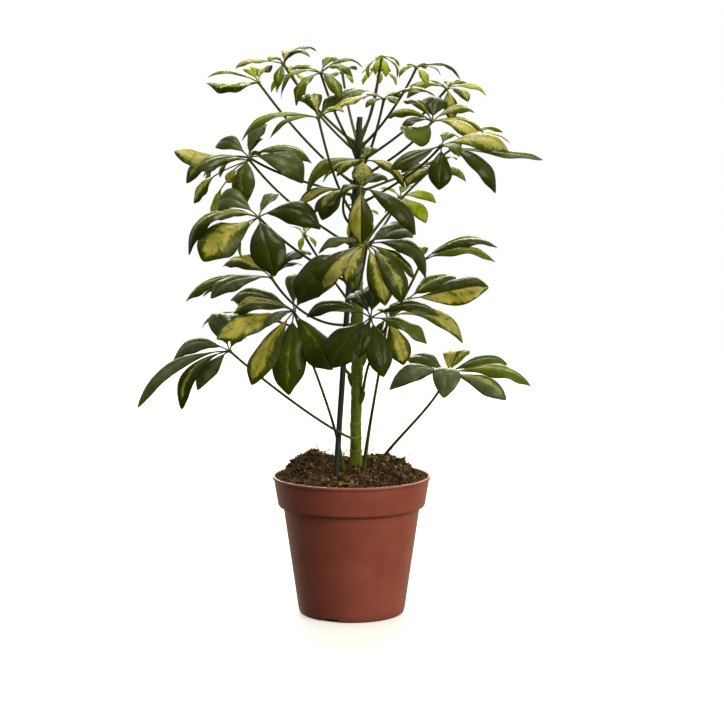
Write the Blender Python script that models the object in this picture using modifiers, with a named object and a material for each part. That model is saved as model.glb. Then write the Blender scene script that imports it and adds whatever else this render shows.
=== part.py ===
"""Potted umbrella plant: a variegated dwarf schefflera with its support cane, in a moulded nursery pot.

Metres, +Z up. The origin is where the pot's axis meets the surface that the pot stands on, and +X is to
the right of a person who looks along +Y. Lengths in the tables are in millimetres.
"""

import math

import bmesh
import bpy
import numpy as np
from mathutils import Vector

MM = 0.001
GAP = 0.0003  # clearance between pieces that touch

# Pot, a 17 cm nursery pot.
RIM_RADIUS = 0.085
RIM_HEIGHT = 0.150
LIP_HEIGHT = 0.0035
COLLAR_TOP_RADIUS = 0.0835
COLLAR_FOOT_RADIUS = 0.0782
COLLAR_FOOT_HEIGHT = 0.1175
BODY_TOP_RADIUS = 0.0732
BODY_TOP_HEIGHT = 0.1145
BASE_RADIUS = 0.0573
BASE_CORNER = 0.004
FOOT_OUTER_RADIUS = 0.0540
FOOT_INNER_RADIUS = 0.0495
CENTRE_DISC_RADIUS = 0.0300
GUTTER_HEIGHT = 0.0035
WALL = 0.0013
POT_STEPS = 36
DRAIN_HOLES = 6
DRAIN_HOLE_RADIUS = 0.004
DRAIN_HOLE_CIRCLE = 0.040
NOTCHES = 3
FIRST_NOTCH_TURN = 245  # degrees round from +X, to the front and left
NOTCH_WIDTH = 0.0215

# Soil, heaped in two mounds behind a shallow dip.
SOIL_EDGE_HEIGHT = 0.1445
SOIL_RINGS = 5
SOIL_CLEARANCE = 0.0004  # off the pot, both inwards and upwards
SOIL_CENTRE_HEIGHT = 0.0105  # how far the middle stands above the edge
MOUNDS = (  # centre x, centre y, reach, height
    (-0.046, 0.030, 0.030, 0.0195),
    (0.036, 0.032, 0.038, 0.0125),
)

# Main stem: height and radius down its length, and where its axis runs.
STEM = (  # x, y, z, radius, in mm
    (5, 0, 112, 6.0),
    (5, 0, 148, 7.0),
    (5, 0, 160, 7.6),
    (4.5, 0, 176, 6.2),
    (4.5, 0, 205, 5.9),
    (6, 0, 253, 5.8),
    (6, 0, 290, 6.6),
    (6, 0, 330, 6.6),
    (6.5, 0, 385, 5.4),
    (7, 0, 445, 4.4),
    (7.5, 0, 500, 3.6),
    (7.5, 0, 522, 2.6),
)

# Support cane, straight, with square-cut ends.
CANE_FOOT = (-22, -33, 70)
CANE_TOP = (9, -12, 532)
CANE_RADIUS = 0.003

# Leaf forms.
STALK_RADIUS = 0.00125
STALK_BASE_SWELL = 1.7
STALK_SEAT = 2.5  # mm that a stalk runs straight out of the stem
STALK_POINTS = 6
HANDLE_SHARE = 0.32  # of the straight way to the hub
HUB_RADIUS = 0.0023
BLADE_THICKNESS = 0.0007
USUAL_ARCH = 0.14
USUAL_WIDTH = 0.36
USUAL_PULL = 0.6
USUAL_LEAFLET_STALK = 0.12
BLADE_GROOVE = 0.30
BLADE_CURL = 0.45
LEAST_HALF_WIDTH = 0.6
LONG_LEAFLETS = (24, 48)  # mm, past each of which a leaflet takes one more segment

# Each leaf, in millimetres: its hub and the way its crown of leaflets faces, where its stalk begins (a height
# on the stem, or a point inside the soil), and its leaflets. A leaflet is the place of its tip from the hub,
# then, where they aren't the usual ones, its arch, its roll in degrees and its width as a share of its length.
# A stalk can also have the way that it leaves the stem, in degrees round from +X, how strongly it leaves
# outwards and reaches the hub from below, and a bend.
LEAVES = {
    "leaf_01": {
        "hub": (32, 0, 595), "facing": (0, 0, 1), "root": 517,
        "leaflets": [(-17, -5, -5), (-6, -15, -13), (3, -15, -14), (18, -5, -14), (-4, 15, -1), (10, 12, -3)],
    },
    "leaf_02": {
        "hub": (-71, -20, 587), "facing": (0, -0.2, 1), "root": 506,
        "leaflets": [
            (34, 25, 16), (29, -35, 5, 0.2, 0, 0.28), (7, 45, 13), (-14, -25, 2), (-49, -15, 0, -0.08, -25),
            (-5, -22, -26, 0.14, 0, 0.3),
        ],
    },
    "leaf_03": {
        "hub": (68, -25, 583), "facing": (0, -0.1, 1), "root": 503,
        "leaflets": [
            (-19, -20, -11), (10, -28, -20, 0.14, 0, 0.28), (25, -10, -8), (47, 10, -13), (-9, 22, 0), (10, 25, 0),
        ],
    },
    "leaf_04": {
        "hub": (30, 25, 582), "facing": (0, 0, 1), "root": 511,
        "leaflets": [(-19, -5, -3), (-18, -15, -16), (0, -15, -15), (18, -10, -16), (-9, 18, -1), (12, 15, -1)],
    },
    "leaf_05": {
        "hub": (-10, 50, 580), "facing": (0, 0, 1), "root": 509,
        "leaflets": [(-18, -10, 6), (15, 20, 5), (-8, 30, 10), (11, -15, -12), (-15, -20, -10)],
    },
    "leaf_06": {
        "hub": (-65, 45, 579), "facing": (0, 0.1, 1), "root": 498,
        "leaflets": [(20, 20, 8), (-15, -15, -21), (-23, 10, -19), (15, -20, -11), (-6, 30, 6)],
    },
    "leaf_07": {
        "hub": (-31, -60, 576), "facing": (0, -0.4, 1), "root": 495,
        "leaflets": [
            (15, 50, 14), (41, 15, 10), (31, -25, -3), (20, -30, -26, 0.18, 0, 0.3), (-25, -15, -34, 0.25, 0, 0.24),
            (-41, -10, -26, 0.3, 0, 0.26), (-32, 20, 3),
        ],
    },
    "leaf_08": {
        "hub": (-99, 20, 569), "facing": (-0.3, -0.2, 1), "root": 463,
        "leaflets": [
            (-52, -22, 7, 0.1), (-54, -10, 0, -0.1, -20), (-38, -38, -8, 0.02), (-14, 40, 14), (9, 45, 14),
        ],
    },
    "leaf_09": {
        "hub": (101, 10, 562), "facing": (0.2, -0.2, 1), "root": 488,
        "leaflets": [
            (-45, -10, -3), (-43, -28, -9), (40, -5, -5), (21, -30, -14), (3, -25, -34, 0.14, 0, 0.32), (3, 40, 3),
            (-24, 35, 3), (25, 30, 3),
        ],
    },
    "leaf_10": {
        "hub": (34, -30, 550), "facing": (0, -0.2, 1), "root": 478,
        "leaflets": [(-19, -15, -9), (13, -25, -6), (54, -10, 2), (-22, 20, 1), (18, 30, 3)],
    },
    "leaf_11": {
        "hub": (-33, -90, 530), "facing": (0, -0.4, 1), "root": 430, "way": 222, "bend": (0, -18, 0),
        "leaflets": [
            (-78, -5, -21, 0.17, 0, 0.26), (-48, -12, -21, 0.2, 0, 0.24), (-19, 45, 20), (-9, 35, 25), (46, 30, 28),
            (45, -5, 20, 0.05), (26, -25, 6), (28, 35, 22),
        ],
    },
    "leaf_12": {
        "hub": (84, -40, 527), "facing": (0, -0.3, 1), "root": 470,
        "leaflets": [
            (5, 45, 20), (-26, 45, 20), (-47, 25, 4), (-33, -20, -8), (-28, -45, -14, -0.1, 0, 0.5), (45, 22, 10),
            (55, 10, -14), (48, -30, -22),
        ],
    },
    "leaf_13": {
        "hub": (119, 50, 508), "facing": (0, 0, 1), "root": 455,
        "leaflets": [(45, 10, 9), (52, -10, -4), (30, -25, -11), (20, 35, 11), (-23, 20, 5), (-8, -20, -16)],
    },
    "leaf_14": {
        "hub": (91, -100, 502), "facing": (0.1, -0.5, 1), "root": 442,
        "leaflets": [
            (-51, -15, -24, 0.04, -20, 0.28), (17, -30, -10), (-3, -20, -44, 0.1, 0, 0.42), (54, -20, -47, 0.2, 0, 0.28),
            (68, -10, -4, 0.14, 10, 0.4), (103, 5, -13, -0.02, 10, 0.2), (10, 30, 10),
        ],
    },
    "leaf_15": {
        "hub": (-108, -10, 490), "facing": (-0.3, -0.4, 1), "root": 450,
        "leaflets": [
            (-76, -22, 8, -0.08, -15), (-64, -25, -26, 0.16), (-49, 20, -22), (-33, 35, -22),
            (-37, 25, 10, 0.25, -20, 0.4), (16, 35, 37), (11, 30, 20), (58, -10, -25, 0.2, 10, 0.36),
            (66, 20, -6, 0.2), (-3, -40, -50),
        ],
    },
    "leaf_16": {
        "hub": (12, -50, 486), "facing": (0, -0.4, 1), "root": 437, "pull": 0.5,
        "leaflets": [
            (-60, -4, -35, 0.26, 0, 0.3), (-27, -25, -14), (-43, 15, -20, 0.14, 0, 0.28),
            (43, -12, -27, 0.22, 0, 0.3), (13, 35, 12), (1, -24, -25),
        ],
    },
    "leaf_17": {
        "hub": (87, 30, 478), "facing": (0, -0.2, 1), "root": 397, "bend": (-8, 0, 4),
        "leaflets": [(-34, -10, -4), (-29, -25, -18), (35, -20, -13), (-6, 25, 4), (27, 30, 9)],
    },
    "leaf_18": {
        "hub": (-110, 35, 487), "facing": (-0.3, -0.5, 1), "root": 397, "leaflet_stalk": 0.5,
        "bend": (2, 0, -2), "arrive": 0.8,
        "leaflets": [
            (-63, 10, -45, 0.08, -20, 0.24), (-42, 8, -65, 0.1, 0, 0.34), (-24, -6, -24, 0.1, 0, 0.5),
            (-50, 18, -20, 0.14, 0, 0.3), (8, 30, 6),
        ],
    },
    "leaf_19": {
        "hub": (10, -100, 460), "facing": (0, -0.6, 1), "root": 408,
        "leaflets": [(56, -15, -46, 0.17, 0, 0.32), (0, -28, -55, 0.12), (-6, 22, 12), (26, 35, 8), (-20, -22, -6)],
    },
    "leaf_20": {
        "hub": (-6, -70, 456), "facing": (-0.1, -0.5, 1), "root": 418, "way": 215, "bend": (-4, 0, 0),
        "leaflets": [(-49, 8, -16, 0.2), (-24, -30, -18), (-33, 5, -23), (-24, -22, -28, 0.1, 0, 0.45)],
    },
    "leaf_21": {
        "hub": (52, 50, 447), "facing": (0, -0.3, 1), "root": 388,
        "leaflets": [
            (40, 0, -4, 0.14, 20, 0.4), (28, -18, -26, 0.14, 10, 0.4), (10, -25, -27), (-16, -15, -17),
            (-21, 20, 8), (11, 30, 10),
        ],
    },
    "leaf_22": {
        "hub": (9, 30, 431), "facing": (0, 0, 1), "root": 402,
        "leaflets": [(20, -10, -2), (-10, -20, -30), (12, -20, -22), (-15, 25, 5)],
    },
    "leaf_23": {
        "hub": (-95, -70, 429), "facing": (-0.2, -0.5, 1), "root": 356,
        "leaflets": [
            (-47, 35, 6, 0.28, -20, 0.42), (-49, 10, -4), (-73, -5, -36, 0.2, 0, 0.42), (-55, -35, -40, 0.02, -25, 0.42),
            (18, -42, -58, 0.14, 0, 0.42), (-19, 20, -43), (20, 35, 23, 0.14, 0, 0.3), (64, -20, -10, 0.22, 20, 0.4),
        ],
    },
    "leaf_24": {
        "hub": (-52, 60, 405), "facing": (0, 0, 1), "root": 333, "bend": (3, 0, 0),
        "leaflets": [(15, 10, 11), (-15, 10, 8), (-4, -15, -16), (13, -12, -12), (1, 20, 12)],
    },
    "leaf_25": {
        "hub": (16, -120, 404), "facing": (0, -0.6, 1), "root": 350,
        "leaflets": [
            (-49, 0, -8, 0.2, 0, 0.3), (-68, -22, -57, 0.12, -10, 0.36), (-48, -28, -45), (-21, -32, -38),
            (18, -30, -60, 0.12, 0, 0.32), (35, -20, -58, 0.2, 0, 0.34), (48, -5, -36, 0.14, 0, 0.3),
            (61, 10, -34, 0.3), (36, 35, 5), (48, 38, 12, 0.08, 0, 0.42),
        ],
    },
    "leaf_26": {
        "hub": (75, 20, 378), "facing": (0.1, -0.4, 1), "root": 279,
        "leaflets": [(82, 5, 16, 0.18, 0, 0.26), (78, -20, 2, 0.16, 0, 0.2), (-28, -15, 13), (0, 35, 14)],
    },
    "leaf_27": {
        "hub": (-86, 10, 362), "facing": (-0.3, -0.3, 1), "root": 312, "bend": (0, 0, -12),
        "leaflets": [
            (-53, 25, 12, 0.2, -15, 0.4), (-63, -30, -18, 0.1, -15, 0.36), (-93, 10, -25, 0.12, 0, 0.24),
            (-75, 25, -23, 0.12, 0, 0.26), (33, 20, 12, 0.14, 0, 0.26), (42, 35, 25), (0, 45, 20),
        ],
    },
    "leaf_28": {
        "hub": (60, -40, 343), "facing": (0.1, -0.5, 1), "root": 239,
        "bend": (-9, 0, 6), "leave": 0,
        "leaflets": [(43, 30, 21, 0.1), (82, -12, 16, -0.03, 20, 0.34), (-20, -20, -17)],
    },
    "leaf_29": {
        "hub": (-58, -100, 335), "facing": (-0.1, -0.6, 1), "root": (-5, -13, 128),
        "bend": (4, 22, 0), "leave": 0.8, "arrive": 1.5,
        "leaflets": [
            (-66, 20, 12), (-61, -5, 0), (-77, -22, -27, 0.03, -25, 0.3), (-31, -20, -15),
            (-43, -25, -72, 0.06, 0, 0.3), (-5, -28, -82, 0.08, 0, 0.34), (40, -28, -56, 0, 0, 0.42),
            (-1, 45, 36, 0.14, 0, 0.26), (22, 45, 12),
        ],
    },
    "leaf_30": {
        "hub": (20, -130, 331), "facing": (0, -0.6, 1), "root": 298,
        "leaflets": [
            (-65, 10, 2, 0.2, 0, 0.3), (-39, -25, -48, 0.12, -10, 0.48), (-12, -25, -38), (13, -30, -56, 0.1),
            (69, 10, 0, 0.2, 0, 0.28), (56, -15, -25, 0.14, 0, 0.28), (7, 50, 28), (-20, 50, 18),
        ],
    },
    "leaf_31": {
        "hub": (38, -40, 323), "facing": (0, -0.4, 1), "root": (10.5, -11, 128),
        "bend": (-1, 0, 0), "leave": 0.8,
        "leaflets": [(16, -22, -48, 0.1, 0, 0.4), (78, -20, -25, 0.2, 10, 0.2), (-14, -5, -25), (-6, 34, 3)],
    },
    "leaf_32": {
        "hub": (-116, 40, 321), "facing": (0, 0, 1), "root": 256,
        "bend": (10, 0, 18), "leave": 0.1,
        "leaflets": [(-47, 0, -16), (-30, -20, -20), (20, -10, -10), (-10, 30, 10), (25, 25, 8)],
    },
    "leaf_33": {
        "hub": (-129, -20, 286), "facing": (-0.3, -0.4, 1), "root": 190, "pull": 0.5,
        "way": 256, "bend": (0, -34, 8), "leave": 2.4,
        "leaflets": [
            (-97, -15, -58, 0.15, -10, 0.2), (-63, 20, -12, 0.22, -10, 0.34), (-50, -20, -60, 0.22, 0, 0.28),
            (-33, -28, -37, 0.08, -10, 0.36), (-16, 40, 40), (15, 28, 12),
        ],
    },
    "leaf_34": {
        "hub": (100, -60, 266), "facing": (0.1, -0.4, 1), "root": (18, 3, 146),
        "bend": (4, 0, 3), "arrive": 0.8,
        "leaflets": [
            (-61, -15, -12, 0.22, -10, 0.36), (-41, 30, 13, 0.15, -15, 0.42), (7, 40, 20), (24, 30, 23, 0.08, 0, 0.25),
            (64, 20, 9, 0.14, 0, 0.3), (87, -5, -11, 0.14, 10, 0.26), (60, -22, -24, 0.12, 10, 0.36),
            (-8, -58, -15, 0.1, 0, 0.42),
        ],
    },
}


def clear_scene():
    """Removes every object that the file starts with."""
    for obj in list(bpy.data.objects):
        bpy.data.objects.remove(obj, do_unlink=True)


def new_collection(name):
    collection = bpy.data.collections.new(name)
    bpy.context.scene.collection.children.link(collection)
    return collection


def material(name, color, roughness, metallic=0.0):
    """A Principled material of one colour."""
    made = bpy.data.materials.new(name)
    made.use_nodes = True
    shader = made.node_tree.nodes["Principled BSDF"]
    shader.inputs["Base Color"].default_value = (*color, 1)
    shader.inputs["Roughness"].default_value = roughness
    shader.inputs["Metallic"].default_value = metallic
    return made


def link_mesh(name, mesh, collection, finish=None):
    """A new object for the mesh, linked to the collection."""
    obj = bpy.data.objects.new(name, mesh)
    collection.objects.link(obj)
    if finish:
        mesh.materials.clear()
        mesh.materials.append(finish)
    return obj


def as_mesh(obj, name, collection, finish):
    """The object as its modifiers leave it, in a new mesh object that takes its place."""
    bpy.context.view_layer.update()
    graph = bpy.context.evaluated_depsgraph_get()
    mesh = bpy.data.meshes.new_from_object(obj.evaluated_get(graph))
    mesh.transform(obj.matrix_world)
    bpy.data.objects.remove(obj, do_unlink=True)
    bm = bmesh.new()
    bm.from_mesh(mesh)
    bmesh.ops.remove_doubles(bm, verts=bm.verts, dist=1e-6)
    bm.to_mesh(mesh)
    bm.free()
    mesh.name = name
    return link_mesh(name, mesh, collection, finish)


def turned(name, profile, steps, collection):
    """A profile of (radius, height) points, down its outer side and back up inside, turned about +Z."""
    mesh = bpy.data.meshes.new(name)
    corners = [(radius, 0, height) for radius, height in profile]
    edges = [(i, (i + 1) % len(corners)) for i in range(len(corners))]
    if profile[0][0] == 0:
        edges = edges[:-1]
    mesh.from_pydata(corners, edges, [])
    obj = link_mesh(name, mesh, collection)
    screw = obj.modifiers.new("turn", "SCREW")
    screw.steps = steps
    screw.render_steps = steps
    screw.use_merge_vertices = True
    screw.merge_threshold = 0.0001
    return obj


def tube(name, points, radii, sides_level, collection):
    """A round bar along a list of points, with a radius at each."""
    curve = bpy.data.curves.new(name, "CURVE")
    curve.dimensions = "3D"
    curve.bevel_depth = 1.0
    curve.bevel_resolution = sides_level
    curve.use_fill_caps = True
    spline = curve.splines.new("POLY")
    spline.points.add(len(points) - 1)
    for spot, place, radius in zip(spline.points, points, radii):
        spot.co = (*place, 1)
        spot.radius = radius
    obj = bpy.data.objects.new(name, curve)
    collection.objects.link(obj)
    return obj


def boolean(obj, operation, other=None, others=None):
    """A Boolean modifier against one object, or against every object of a collection."""
    modifier = obj.modifiers.new(operation.lower(), "BOOLEAN")
    modifier.operation = operation
    modifier.solver = "EXACT"
    if others:
        modifier.operand_type = "COLLECTION"
        modifier.collection = others
    else:
        modifier.object = other
    return modifier


def hide_helper(obj):
    obj.hide_render = True
    obj.display_type = "WIRE"
    return obj


# ---------------------------------------------------------------- pot


def pot_profile():
    """The pot's wall as one closed outline: down the outside, under the floor and back up inside."""
    return [
        (RIM_RADIUS - 0.0012, RIM_HEIGHT),
        (RIM_RADIUS, RIM_HEIGHT - 0.0010),
        (RIM_RADIUS, RIM_HEIGHT - LIP_HEIGHT + 0.0006),
        (COLLAR_TOP_RADIUS, RIM_HEIGHT - LIP_HEIGHT),
        (COLLAR_FOOT_RADIUS + 0.0008, COLLAR_FOOT_HEIGHT + 0.0010),
        (COLLAR_FOOT_RADIUS, COLLAR_FOOT_HEIGHT),
        (BODY_TOP_RADIUS + 0.0012, COLLAR_FOOT_HEIGHT - 0.0012),
        (BODY_TOP_RADIUS, BODY_TOP_HEIGHT),
        (BASE_RADIUS + 0.0004, BASE_CORNER + 0.002),
        (BASE_RADIUS - 0.0008, BASE_CORNER * 0.4),
        (FOOT_OUTER_RADIUS, 0),
        (FOOT_INNER_RADIUS, 0),
        (FOOT_INNER_RADIUS - 0.001, GUTTER_HEIGHT),
        (CENTRE_DISC_RADIUS + 0.001, GUTTER_HEIGHT),
        (CENTRE_DISC_RADIUS, 0),
        (0, 0),
        (0, WALL),
        (CENTRE_DISC_RADIUS - WALL, WALL),
        (CENTRE_DISC_RADIUS - WALL * 0.4, GUTTER_HEIGHT + WALL),
        *inner_wall(),
        (COLLAR_TOP_RADIUS - WALL + 0.0006, RIM_HEIGHT),
    ]


def inner_wall():
    """The inside of the wall, from the floor's corner up to the rim, as points of the pot's outline."""
    floor_top = GUTTER_HEIGHT + WALL
    return [
        (BASE_RADIUS - WALL - 0.001, floor_top),
        (BASE_RADIUS - WALL + 0.0006, floor_top + 0.002),
        (BODY_TOP_RADIUS - WALL, BODY_TOP_HEIGHT),
        (BODY_TOP_RADIUS - WALL + 0.001, COLLAR_FOOT_HEIGHT - 0.0005),
        (COLLAR_FOOT_RADIUS - WALL, COLLAR_FOOT_HEIGHT + 0.0010),
        (COLLAR_TOP_RADIUS - WALL, RIM_HEIGHT - 0.0005),
    ]


def drain_cutter(name, radius, turn, helpers):
    """An upright cylinder that goes right through the gutter's floor."""
    bm = bmesh.new()
    bmesh.ops.create_cone(
        bm, cap_ends=True, segments=16, radius1=DRAIN_HOLE_RADIUS, radius2=DRAIN_HOLE_RADIUS, depth=0.02
    )
    mesh = bpy.data.meshes.new(name)
    bm.to_mesh(mesh)
    bm.free()
    obj = hide_helper(link_mesh(name, mesh, helpers))
    angle = math.radians(turn)
    obj.location = (radius * math.cos(angle), radius * math.sin(angle), GUTTER_HEIGHT)
    return obj


def notch_cutter(name, turn, helpers):
    """A block that takes a drain notch out of the foot ring, no higher than the gutter's roof."""
    bm = bmesh.new()
    bmesh.ops.create_cube(bm, size=1)
    reach = 0.012
    height = 2 * GUTTER_HEIGHT
    bmesh.ops.scale(bm, vec=(reach, NOTCH_WIDTH, height), verts=bm.verts)
    mesh = bpy.data.meshes.new(name)
    bm.to_mesh(mesh)
    bm.free()
    obj = hide_helper(link_mesh(name, mesh, helpers))
    angle = math.radians(turn)
    middle = FOOT_INNER_RADIUS + reach / 2 - 0.0025
    obj.location = (middle * math.cos(angle), middle * math.sin(angle), 0)
    obj.rotation_euler = (0, 0, angle)
    return obj


def build_pot(parts, helpers, finish):
    pot = turned("pot", pot_profile(), POT_STEPS, parts)
    pot.data.materials.append(finish)
    cutters = new_collection("pot_cutters")
    for i in range(DRAIN_HOLES):
        drain_cutter(f"drain_cutter_{i}", DRAIN_HOLE_CIRCLE, 360 * i / DRAIN_HOLES, cutters)
    for i in range(NOTCHES):
        notch_cutter(f"notch_cutter_{i}", FIRST_NOTCH_TURN + 360 * i / NOTCHES, cutters)
    boolean(pot, "DIFFERENCE", others=cutters)
    return pot


# ---------------------------------------------------------------- soil


def soil_rise(x, y):
    """Height of the soil's top over its edge: a low dome that is zero at the wall, plus the mounds."""
    wall = COLLAR_TOP_RADIUS - WALL
    inside = max(0.0, 1 - (x * x + y * y) / (wall * wall))
    rise = SOIL_CENTRE_HEIGHT * inside**0.7
    for mound_x, mound_y, reach, height in MOUNDS:
        distance = ((x - mound_x) ** 2 + (y - mound_y) ** 2) / (reach * reach)
        rise += height * math.exp(-distance) * min(1.0, 3 * inside)
    return rise


def build_soil(parts, planted, finish):
    """The soil: a turned body that fills the pot, its top raised into mounds, with a hole for each planted piece."""
    inside = [(radius - SOIL_CLEARANCE, height + SOIL_CLEARANCE) for radius, height in inner_wall()]
    low, high = inside[-2:]
    share = (SOIL_EDGE_HEIGHT - low[1]) / (high[1] - low[1])
    top_radius = low[0] + share * (high[0] - low[0])
    profile = [(top_radius * i / SOIL_RINGS, SOIL_EDGE_HEIGHT) for i in range(SOIL_RINGS + 1)]
    profile += [*reversed(inside[:-1]), (0, inside[0][1])]
    blank = turned("soil_blank", profile, POT_STEPS, parts)
    soil = as_mesh(blank, "soil", parts, finish)
    for vertex in soil.data.vertices:
        if vertex.co.z > SOIL_EDGE_HEIGHT - 1e-5:
            vertex.co.z += soil_rise(vertex.co.x, vertex.co.y)
    boolean(soil, "DIFFERENCE", others=planted)
    return soil


# ---------------------------------------------------------------- stem and cane


def build_stem(parts, finish):
    points = [Vector(row[:3]) * MM for row in STEM]
    radii = [row[3] * MM for row in STEM]
    return as_mesh(tube("main_stem", points, radii, 4, parts), "main_stem", parts, finish)


def build_cane(parts, finish):
    ends = [Vector(CANE_FOOT) * MM, Vector(CANE_TOP) * MM]
    return as_mesh(tube("support_cane", ends, [CANE_RADIUS] * 2, 2, parts), "support_cane", parts, finish)


def planting_cutter(name, points, radii, planted):
    """A copy of a planted piece, thicker by the clearance and longer by it at the foot."""
    foot = points[0] + (points[0] - points[1]).normalized() * GAP
    wide = [radius * 1.03 + GAP for radius in radii]
    cutter = as_mesh(tube(name, [foot, *points[1:]], wide, 4, planted), name, planted, None)
    return hide_helper(cutter)


# ---------------------------------------------------------------- leaves


def leaflet_frame(leaf, leaflet):
    """The leaflet's reach from the hub, its length, the way its arch bows and the way across it, in mm."""
    reach = np.array(leaflet[:3], float)
    length = np.linalg.norm(reach)
    ahead = reach / length
    facing = np.array(leaf["facing"], float)
    bow = facing - (facing @ ahead) * ahead
    bow /= np.linalg.norm(bow)
    return reach, length, bow, np.cross(ahead, bow)


def leaflet_point(leaf, leaflet, along, across):
    """A point of the blade in mm: along runs 0 to 1 from hub to tip, across runs -1 to 1 over its width.

    The midrib is a quadratic curve whose middle handle stands off the straight line to the tip by the arch.
    The half width swells as a power of a sine. Each half rises off the midrib, then curls down to its edge.
    """
    reach, length, bow, side = leaflet_frame(leaf, leaflet)
    arch = leaflet[3] if len(leaflet) > 3 else USUAL_ARCH
    roll = math.radians(leaflet[4]) if len(leaflet) > 4 else 0
    width = leaflet[5] if len(leaflet) > 5 else USUAL_WIDTH
    start = leaf.get("leaflet_stalk", USUAL_LEAFLET_STALK)
    handle = leaf.get("pull", USUAL_PULL) * reach + 2 * arch * length * bow
    middle = np.array(leaf["hub"], float) + 2 * along * (1 - along) * handle + along * along * reach
    tangent = 2 * (1 - 2 * along) * handle + 2 * along * reach
    normal = np.cross(side, tangent / np.linalg.norm(tangent))
    blade = min(max((along - start) / (1 - start), 0), 1)
    turn = roll * min(3 * blade, 1)
    over = side * math.cos(turn) - normal * math.sin(turn)
    up = normal * math.cos(turn) + side * math.sin(turn)
    half = max(width * length / 2 * math.sin(math.pi * blade**1.25) ** 0.8, LEAST_HALF_WIDTH)
    lift = half * (BLADE_GROOVE * abs(across) - BLADE_CURL * across * across)
    return middle + over * (half * across) + up * lift


def build_blade(name, leaf, leaflet, helpers):
    """One leaflet: a grid laid on the blade's surface, with a wall."""
    segments = 2 + sum(np.linalg.norm(leaflet[:3]) > length for length in LONG_LEAFLETS)
    bm = bmesh.new()
    bmesh.ops.create_grid(bm, x_segments=segments, y_segments=2, size=1)
    for vertex in bm.verts:
        vertex.co = Vector(leaflet_point(leaf, leaflet, (vertex.co.x + 1) / 2, vertex.co.y)) * MM
    mesh = bpy.data.meshes.new(name)
    bm.to_mesh(mesh)
    bm.free()
    obj = link_mesh(name, mesh, helpers)
    wall = obj.modifiers.new("wall", "SOLIDIFY")
    wall.thickness = BLADE_THICKNESS
    wall.offset = 0
    return obj


def stem_at(height):
    """The stem's axis and radius at a height, in mm."""
    rows = np.array(STEM, float)
    return [np.interp(height, rows[:, 2], rows[:, column]) for column in (0, 1, 3)]


def stalk_route(leaf):
    """A leaf stalk's points and radii from its root to the hub, in mm.

    It runs straight out of the stem for its seat, then along a cubic curve that leaves outwards and reaches
    the hub from below it. A bend moves the middle of the route aside, and fades to nothing at both ends.
    """
    hub = np.array(leaf["hub"], float)
    if isinstance(leaf["root"], tuple):
        start = seat = np.array(leaf["root"], float)
        outward = np.array([0, 0, 1])
        points = []
    else:
        x, y, radius = stem_at(leaf["root"])
        way = math.radians(leaf["way"]) if "way" in leaf else math.atan2(hub[1] - y, hub[0] - x)
        outward = np.array([math.cos(way), math.sin(way), 0])
        start = np.array([x, y, leaf["root"]]) + outward * (radius + GAP / MM)
        seat = start + outward * STALK_SEAT
        points = [start]
    span = np.linalg.norm(hub - seat)
    ahead = (hub - seat) / span
    facing = np.array(leaf["facing"], float)
    facing /= np.linalg.norm(facing)
    leave = leaf.get("leave", 0.3) * outward + ahead
    arrive = ahead + leaf.get("arrive", 0.4) * facing
    handles = [
        seat,
        seat + leave / np.linalg.norm(leave) * span * HANDLE_SHARE,
        hub - arrive / np.linalg.norm(arrive) * span * HANDLE_SHARE,
        hub,
    ]
    for i in range(STALK_POINTS):
        t = i / (STALK_POINTS - 1)
        weights = [(1 - t) ** 3, 3 * t * (1 - t) ** 2, 3 * t * t * (1 - t), t**3]
        place = sum(weight * handle for weight, handle in zip(weights, handles))
        points.append(place + 4 * t * (1 - t) * np.array(leaf.get("bend", (0, 0, 0)), float))
    swell = [STALK_BASE_SWELL, 1.5, 1.1] if len(points) > STALK_POINTS else [1.2, 1.1]
    radii = swell + [1.0] * (len(points) - len(swell))
    return [Vector(point) * MM for point in points], [radius * STALK_RADIUS for radius in radii]


def build_leaf(name, leaf, parts, helpers, finish):
    """A compound leaf: its stalk, its hub and its leaflets, joined in one solid."""
    pieces = bpy.data.collections.new(name + "_pieces")
    helpers.children.link(pieces)
    for i, leaflet in enumerate(leaf["leaflets"]):
        build_blade(f"{name}_blade_{i}", leaf, leaflet, pieces)
    points, radii = stalk_route(leaf)
    as_mesh(tube(name + "_stalk", points, radii, 1, pieces), name + "_stalk", pieces, None)
    bm = bmesh.new()
    bmesh.ops.create_uvsphere(bm, u_segments=6, v_segments=4, radius=HUB_RADIUS)
    bmesh.ops.translate(bm, vec=Vector(leaf["hub"]) * MM, verts=bm.verts)
    mesh = bpy.data.meshes.new(name + "_hub")
    bm.to_mesh(mesh)
    bm.free()
    hub = link_mesh(name + "_hub", mesh, parts)
    boolean(hub, "UNION", others=pieces)
    made = as_mesh(hub, name, parts, finish)
    for obj in list(pieces.objects):
        bpy.data.objects.remove(obj, do_unlink=True)
    bpy.data.collections.remove(pieces)
    return made


# ---------------------------------------------------------------- the whole plant


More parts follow.
